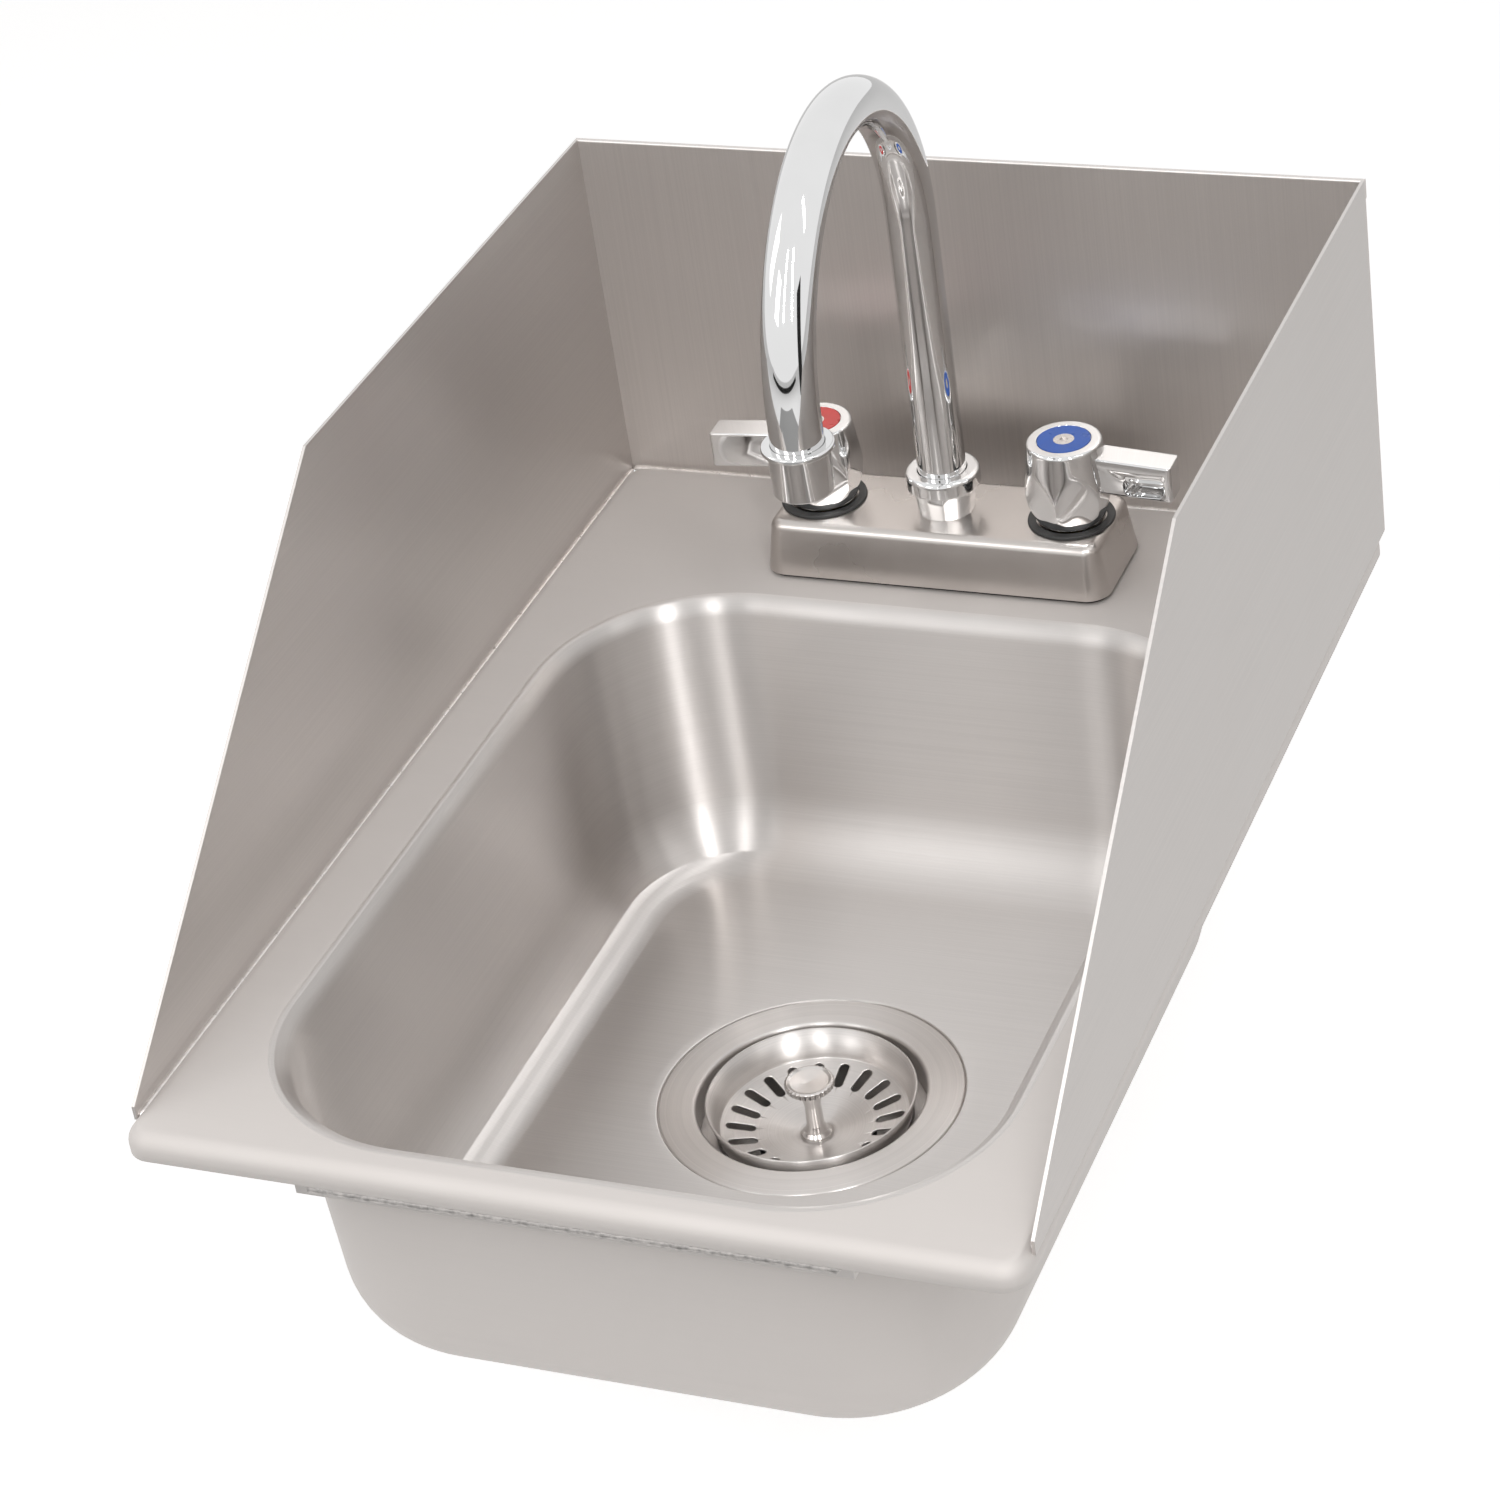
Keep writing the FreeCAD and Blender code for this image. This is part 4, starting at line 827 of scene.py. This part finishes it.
class SINK_OT_spout(bpy.types.Operator):
    """Bend the gooseneck and turn its nut and aerator"""

    bl_idname = "sink.spout"
    bl_label = "Spout"

    def execute(self, context):
        faucet = context.scene.sink_faucet
        radius, wall = faucet.spout_radius, faucet.spout_wall
        turn = math.atan2(OUTLET.x - FAUCET.x, FAUCET.y - OUTLET.y)
        ahead = np.array([math.sin(turn), -math.cos(turn), 0.0])
        reach = math.hypot(OUTLET.x - FAUCET.x, FAUCET.y - OUTLET.y)
        arch = SPOUT_HIGH.z - radius - reach / 2
        bend = np.linspace(0, math.pi, BEND_STEPS)
        leans = np.concatenate([[0, 0], bend, [math.pi]])[:, None]
        along = np.concatenate([[0, 0], reach / 2 * (1 - np.cos(bend)), [reach]])[:, None]
        level = np.concatenate([[BASE_HIGH.z, (BASE_HIGH.z + arch) / 2], arch + reach / 2 * np.sin(bend),
                                [OUTLET.z]])
        upward = np.array([0.0, 0.0, 1.0])
        path = np.array([FAUCET.x, FAUCET.y, 0.0]) + ahead * along + upward * level[:, None]
        outwards = upward * np.sin(leans) - ahead * np.cos(leans)
        across = np.cross(ahead, upward) + 0 * path
        skin = swept(path, across, outwards, radius, radius, TUBE_SIDES)
        bore = swept(path, across, outwards, radius - wall, radius - wall, TUBE_SIDES)[::-1]
        tube = np.concatenate([skin, bore])
        new_piece("bent_tube", tube, grid_faces(*tube.shape[:2], wrap_rows=True), FINISHES["chrome"], "spout",
                  ("gooseneck",), sharp=50)

        grip, ring, height = faucet.nut_grip / MM, faucet.nut_ring / MM, faucet.nut_height / MM
        grip_top = height - faucet.nut_ring_height / MM
        foot = grip - faucet.nut_taper / MM
        hole = radius / MM + TUBE_GAP
        flutes = flat_sided(NUT_FLATS, faucet.nut_flat, 0.0, faucet.nut_taper / (grip_top * MM),
                            (grip_top - FLUTE_END) * MM)
        nut = [(hole, 0), (foot, 0, 0.3), (grip, grip_top - GRIP_END, 0.2),
               (ring - RING_UNDERCUT, grip_top, 0.3), (ring, grip_top + RING_RISE, 0.4), (ring, height, 2.0),
               (hole, height, 0.6)]
        turned_piece("fluted_nut", nut, FAUCET, FINISHES["chrome"], "sink", ("spout_nut",),
                     count=192, change=flutes, fine=70)
        tall = (OUTLET_HIGH.z - OUTLET_LOW.z) / MM
        lip = (OUTLET_HIGH.x - OUTLET_LOW.x) / 2 / MM
        collar, lip_foot = faucet.aerator_body / MM, tall - faucet.aerator_lip / MM
        seat = Vector((OUTLET.x, OUTLET.y, OUTLET_LOW.z))
        body = [(AERATOR_BORE, 0), (collar - AERATOR_TAPER, 0, 0.8), (collar, lip_foot, 0.4),
                (lip, lip_foot + LIP_RISE, 0.5), (lip, tall, 0.9), (hole, tall, 0.4), (hole, tall / 2),
                (AERATOR_BORE, tall / 2)]
        turned_piece("aerator_shell", body, seat, FINISHES["chrome"], "spout",
                     ("aerator_housing",))
        return {"FINISHED"}


# Millimetres from the strainer's axis, and down from the top of its flange
FLANGE_EDGE, LEDGE_GAP = 1.8, 1.3
CUP_BORE, CUP_FLOOR = 36.5, 36
CUP_SIDE, CUP_SIDE_END = 44.4, 30
CUP_FOOT, CUP_FOOT_DEPTH = 38.3, 37.8
NECK_BORE, NECK_SIDE, NECK_TOP = 20, 23.8, 39.6


class SINK_OT_strainer(bpy.types.Operator):
    """Turn the strainer's body"""

    bl_idname = "sink.strainer"
    bl_label = "Strainer"

    def execute(self, context):
        drain = context.scene.sink_drain
        flange, throat = drain.flange_radius / MM, drain.throat_radius / MM
        deep = (FLANGE_HIGH.z - FLANGE_LOW.z) / MM
        centre = Vector((DRAIN.x, DRAIN.y, FLANGE_HIGH.z))
        ledge = (drain.basket_rise - drain.basket_depth) / MM - LEDGE_GAP
        body = [(flange, -FLANGE_EDGE), (flange, 0, 0.9), (throat, 0, drain.throat_round / MM),
                (throat, ledge, 0.4), (CUP_BORE, ledge, 0.6), (CUP_BORE, -CUP_FLOOR, 6),
                (NECK_BORE, -CUP_FLOOR, 1), (NECK_BORE, -deep), (NECK_SIDE, -deep, 0.5),
                (NECK_SIDE, -NECK_TOP, 1), (CUP_FOOT, -CUP_FOOT_DEPTH, 6), (CUP_SIDE, -CUP_SIDE_END, 1),
                (CUP_SIDE, -FLANGE_EDGE)]
        turned_piece("turned_strainer", body, centre, FINISHES["turned"], "sink",
                     ("strainer_body",), count=160)
        return {"FINISHED"}


SLOTS = 20
SECTOR_COLUMNS, QUARTER_STEPS, INNER_ROWS, SLOT_ROWS = 6, 7, 5, 6
POST_HOLE, DISH_FLAT = 0.0052, 0.0081
DISH_MARGIN, DISH_ROUND, BASKET_SHEET = 0.0022, 0.0016, 0.0009


def slotted_dish(drain):
    """The basket's dish as half sectors from a slot's edge to the sector's edge: each slot is a clean hole.

    The slot's half width is w = min(s, sqrt(s^2 - d^2)) for a distance d past the centre of its round end,
    and zero beyond it, where both half sectors meet.
    """
    half = drain.slot_width / 2
    inner, outer = drain.slot_inner + half, drain.slot_outer - half
    bend = np.linspace(0, math.pi / 2, QUARTER_STEPS)
    radius = np.concatenate([[POST_HOLE, DISH_FLAT], np.linspace(DISH_FLAT, inner - half, INNER_ROWS)[1:-1],
                             inner - half * np.cos(bend), np.linspace(inner, outer, SLOT_ROWS)[1:-1],
                             outer + half * np.sin(bend), [drain.basket_floor - DISH_MARGIN]])
    past = np.maximum(0, np.maximum(inner - radius, radius - outer))
    width = np.sqrt(np.maximum(0, half ** 2 - past ** 2))
    slot_edge = np.arcsin(np.clip(width / radius, 0, 1))
    slope = drain.basket_dish / (drain.basket_floor - DISH_FLAT)
    rim, edge = drain.basket_rise, drain.basket_rise - drain.basket_depth
    height = edge - drain.basket_dish + np.maximum(0, radius - DISH_FLAT) * slope
    wall = rounded_path([(radius[-1], height[-1]), (drain.basket_floor, edge, DISH_ROUND),
                         (drain.basket_radius - BASKET_SHEET, rim)], QUARTER_STEPS)[1:]
    radius = np.concatenate([radius, wall[:, 0]])
    height = np.concatenate([height, wall[:, 1]])
    slot_edge = np.concatenate([slot_edge, 0 * wall[:, 0]])[:, None]
    sector = math.pi / SLOTS
    t = np.linspace(0, 1, SECTOR_COLUMNS)[None, :]
    turn = slot_edge * (1 - t) + sector * t
    halves = np.concatenate([-turn[:, ::-1, None], turn[:, :, None]], axis=2)
    start = 2 * sector * np.arange(SLOTS)[None, None, None, :]
    a = halves[..., None] + start
    r, h = radius[:, None, None, None], height[:, None, None, None]
    points = np.stack([r * np.cos(a), r * np.sin(a), h + 0 * a], -1)
    points = points.transpose(2, 3, 0, 1, 4).reshape(-1, 3)
    one = grid_faces(len(radius), SECTOR_COLUMNS, wrap_columns=False)
    first = np.arange(2 * SLOTS) * len(radius) * SECTOR_COLUMNS
    return points, (one[None] + first[:, None, None]).reshape(-1, 4)


# Millimetres from the basket's axis, and up from the middle of its floor
POST_OUTLINE = ((0, -7.6), (5.1, -7.6), (5.1, -5.55), (3, -5.5), (3, 0), (5.9, 0), (5.7, 1.4, 0.8),
                (4.3, 2.7, 1.0), (3.3, 5.5, 2), (3.1, 14, 4), (4.4, 21.1), (2, 21.1), (0, 21.1))
KNOB_FOOT, KNOB_FOOT_RADIUS = 21.2, 4.5
KNURLS, KNURL_DEPTH, KNURL_START = 16, 0.03, 0.9


def raised(outline, height):
    """A turned outline moved up by a height."""
    return [(radius, height + level, *rounding) for radius, level, *rounding in outline]


class SINK_OT_basket(bpy.types.Operator):
    """Press the slotted basket and turn its post and knob"""

    bl_idname = "sink.basket"
    bl_label = "Basket"

    def execute(self, context):
        drain = context.scene.sink_drain
        centre = Vector((DRAIN.x, DRAIN.y, FLANGE_HIGH.z))
        points, faces = slotted_dish(drain)
        dish = new_piece("slotted_dish", points + np.array(centre), faces, FINISHES["turned"], "basket",
                         ("basket_cup",))
        sheet = dish.modifiers.new("sheet", "SOLIDIFY")
        sheet.thickness = BASKET_SHEET
        sheet.offset = -1.0
        floor = (drain.basket_rise - drain.basket_depth - drain.basket_dish) / MM
        turned_piece("turned_post", raised(POST_OUTLINE, floor), centre, FINISHES["post"], "basket",
                     ("basket_post",), count=64)
        rim = drain.knob_radius / MM

        def knurl(r, h, a):
            return np.where(r > KNURL_START * rim * MM, r * (1 - KNURL_DEPTH * np.abs(np.sin(KNURLS * a))), r)

        knob = [(0, KNOB_FOOT), (KNOB_FOOT_RADIUS, KNOB_FOOT, 0.4), (rim - 0.7, 22.5, 0.4), (rim, 23.0, 0.3),
                (rim, 25.0, 0.5), (rim - 0.9, 25.4, 0.3), (rim - 2.2, 25.0, 0.5), (0, 24.6)]
        turned_piece("knurled_knob", raised(knob, floor), centre, FINISHES["post"], "basket",
                     ("basket_knob",), count=192, change=knurl, fine=40)
        return {"FINISHED"}


SENSOR_WIDTH = 36.0


def make_camera(studio):
    """The camera on a line back from its aim: azimuth, elevation and distance, then rolled about it."""
    a, e, roll = studio.azimuth, studio.elevation, studio.roll
    back = Vector((math.sin(a) * math.cos(e), -math.cos(a) * math.cos(e), math.sin(e)))
    right = (-back).cross(Vector((0, 0, 1))).normalized()
    up = right.cross(-back)
    side = math.cos(roll) * right + math.sin(roll) * up
    top = -math.sin(roll) * right + math.cos(roll) * up
    data = bpy.data.cameras.new("camera")
    data.sensor_width = SENSOR_WIDTH
    data.lens = studio.lens
    data.shift_x, data.shift_y = studio.shift_x, studio.shift_y
    camera = bpy.data.objects.new("camera", data)
    bpy.context.scene.collection.objects.link(camera)
    spot = Vector((studio.aim_x, studio.aim_y, studio.aim_z)) + back * studio.distance
    camera.matrix_world = Matrix.Translation(spot) @ Matrix((side, top, back)).transposed().to_4x4()
    bpy.context.scene.camera = camera


def seen_directly(tree):
    """One where a ray comes from the camera, a reflection or glass, and zero elsewhere."""
    path = add_node(tree, "ShaderNodeLightPath").outputs
    total = path["Is Camera Ray"]
    for name in ("Is Glossy Ray", "Is Transmission Ray"):
        total = add_node(tree, "ShaderNodeMath", {0: total, 1: path[name]}, operation="MAXIMUM").outputs[0]
    return total


WHITE, WARM_WHITE = (1, 1, 1, 1), (1, 0.985, 0.97, 1)
WORLD_LIGHT = 0.3
FLOOR_SHADE = (0.85, 0.85, 0.85, 1)
FLOOR_GLOW, FLOOR_CAMERA_GLOW = 0.3, 0.32


def make_world():
    """White where it is seen or mirrored, and a plain soft light elsewhere."""
    world = bpy.data.worlds.new("studio")
    bpy.context.scene.world = world
    world.use_nodes = True
    tree = world.node_tree
    tree.nodes.clear()
    white = add_node(tree, "ShaderNodeBackground", {"Color": WHITE, "Strength": 1.0})
    soft = add_node(tree, "ShaderNodeBackground", {"Color": WARM_WHITE, "Strength": WORLD_LIGHT})
    mix = add_node(tree, "ShaderNodeMixShader", {"Fac": seen_directly(tree)})
    tree.links.new(soft.outputs[0], mix.inputs[1])
    tree.links.new(white.outputs[0], mix.inputs[2])
    out = add_node(tree, "ShaderNodeOutputWorld")
    tree.links.new(mix.outputs[0], out.inputs["Surface"])


def stage_plane(name, corners, material, in_camera=True):
    """A plain four-cornered sheet of the studio. One that the camera doesn't see casts no shadow either."""
    mesh = bpy.data.meshes.new(name)
    mesh.from_pydata(corners, [], [(0, 1, 2, 3)])
    mesh.materials.append(material)
    plane = bpy.data.objects.new(name, mesh)
    plane.visible_camera = plane.visible_shadow = in_camera
    bpy.context.scene.collection.objects.link(plane)


def floor_material():
    """Pale and matt, lifted to white where it is seen, so that only the shadow shows."""
    material, tree, shader = new_material("pale_floor")
    shader.inputs["Base Color"].default_value = FLOOR_SHADE
    shader.inputs["Roughness"].default_value = 0.9
    path = add_node(tree, "ShaderNodeLightPath").outputs
    seen = add_node(tree, "ShaderNodeMath", {0: path["Is Camera Ray"], 1: FLOOR_CAMERA_GLOW},
                    operation="MULTIPLY")
    glow = add_node(tree, "ShaderNodeMath", {0: seen_directly(tree), 1: FLOOR_GLOW, 2: seen.outputs[0]},
                    operation="MULTIPLY_ADD")
    shader.inputs["Emission Color"].default_value = WHITE
    tree.links.new(glow.outputs[0], shader.inputs["Emission Strength"])
    return material


def card_material(name, shade):
    """A grey card, for reflections only."""
    material, _, shader = new_material(name)
    shader.inputs["Base Color"].default_value = (shade, shade, shade, 1)
    shader.inputs["Roughness"].default_value = 1.0
    return material


LAMP_DISTANCE = 1.9


def soft_box(name, turn, height, width, tall, power):
    """A lamp that faces the origin, turned to the right of the front and raised, both by degrees."""
    data = bpy.data.lights.new(name, "AREA")
    data.shape = "RECTANGLE"
    data.size, data.size_y = width, tall
    data.energy = power
    lamp = bpy.data.objects.new(name, data)
    a, e = math.radians(turn), math.radians(height)
    back = Vector((math.sin(a) * math.cos(e), -math.cos(a) * math.cos(e), math.sin(e)))
    lamp.location = back * LAMP_DISTANCE
    lamp.rotation_euler = back.to_track_quat("Z", "Y").to_euler()
    bpy.context.scene.collection.objects.link(lamp)


def lying(left, right, near, far, level):
    """Corners of a level sheet."""
    return [(left, near, level), (right, near, level), (right, far, level), (left, far, level)]


def standing(start, end, foot, top):
    """Corners of an upright sheet over a line on the floor."""
    return [(*start, foot), (*end, foot), (*end, top), (*start, top)]


FLOOR_HALF, FLOOR_DROP, FLAG_LIFT = 6.0, 0.0005, 0.001
FLAG_HALF, FLAG_NEAR, FLAG_FAR = 0.5, -0.42, -1.2
RIGHT_CARD_START, RIGHT_CARD_END, RIGHT_CARD_TOP = (1.3, -0.7), (1.45, -0.35), 0.9
FAR_CARD_START, FAR_CARD_END, FAR_CARD_TOP = (-2.5, -2.4), (2.5, -2.4), -0.1
GREY, NEAR_BLACK = 0.45, 0.03


class SINK_OT_stage(bpy.types.Operator):
    """Set up the camera, the floor and the light"""

    bl_idname = "sink.stage"
    bl_label = "Studio"

    def execute(self, context):
        make_camera(context.scene.sink_studio)
        make_world()
        level = CAD_BOX[0].z - FLOOR_DROP
        stage_plane("floor", lying(-FLOOR_HALF, FLOOR_HALF, -FLOOR_HALF, FLOOR_HALF, level), floor_material())
        flag = lying(-FLAG_HALF, FLAG_HALF, FLAG_NEAR, FLAG_FAR, level + FLAG_LIFT)
        stage_plane("front_flag", flag, card_material("grey_card", GREY), False)
        dark = card_material("dark_card", NEAR_BLACK)
        right_card = standing(RIGHT_CARD_START, RIGHT_CARD_END, level, RIGHT_CARD_TOP)
        stage_plane("right_card", right_card, dark, False)
        stage_plane("far_card", standing(FAR_CARD_START, FAR_CARD_END, level, FAR_CARD_TOP), dark, False)
        soft_box("left", -75, 35, width=0.5, tall=0.9, power=2.4)
        soft_box("front_left", -30, 36, width=0.5, tall=0.7, power=3.0)
        soft_box("front", 3, 46, width=0.1, tall=1.1, power=5.4)
        soft_box("front_right", 41, 42, width=0.12, tall=1.1, power=9.5)
        soft_box("right", 88, 57, width=0.1, tall=0.9, power=1.5)
        context.scene.view_settings.view_transform = "Standard"
        return {"FINISHED"}


class VIEW3D_PT_sink(bpy.types.Panel):
    """Builds the sink piece by piece"""

    bl_label = "Drop-in sink"
    bl_space_type = "VIEW_3D"
    bl_region_type = "UI"
    bl_category = "Sink"

    def draw(self, context):
        for operator in OPERATORS:
            self.layout.operator(operator.bl_idname)
        for name in SETTINGS:
            group = getattr(context.scene, name)
            box = self.layout.box()
            for key in group.__annotations__:
                box.prop(group, key)


SETTINGS = {
    "sink_sheet": SheetSettings,
    "sink_faucet": FaucetSettings,
    "sink_drain": DrainSettings,
    "sink_finish": FinishSettings,
    "sink_studio": StudioSettings,
}
OPERATORS = (SINK_OT_finishes, SINK_OT_bowl, SINK_OT_welds, SINK_OT_faucet_base, SINK_OT_handles,
             SINK_OT_spout, SINK_OT_strainer, SINK_OT_basket, SINK_OT_stage)


def register():
    """Adds the settings, the operators and the panel."""
    for name, group in SETTINGS.items():
        bpy.utils.register_class(group)
        setattr(bpy.types.Scene, name, PointerProperty(type=group))
    for operator in OPERATORS:
        bpy.utils.register_class(operator)
    bpy.utils.register_class(VIEW3D_PT_sink)


def unregister():
    """Takes the panel, the operators and the settings away again."""
    bpy.utils.unregister_class(VIEW3D_PT_sink)
    for operator in reversed(OPERATORS):
        bpy.utils.unregister_class(operator)
    for name, group in SETTINGS.items():
        delattr(bpy.types.Scene, name)
        bpy.utils.unregister_class(group)


def main():
    """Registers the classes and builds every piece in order."""
    register()
    for operator in OPERATORS:
        family, action = operator.bl_idname.split(".")
        getattr(getattr(bpy.ops, family), action)()


if __name__ == "__main__":
    main()
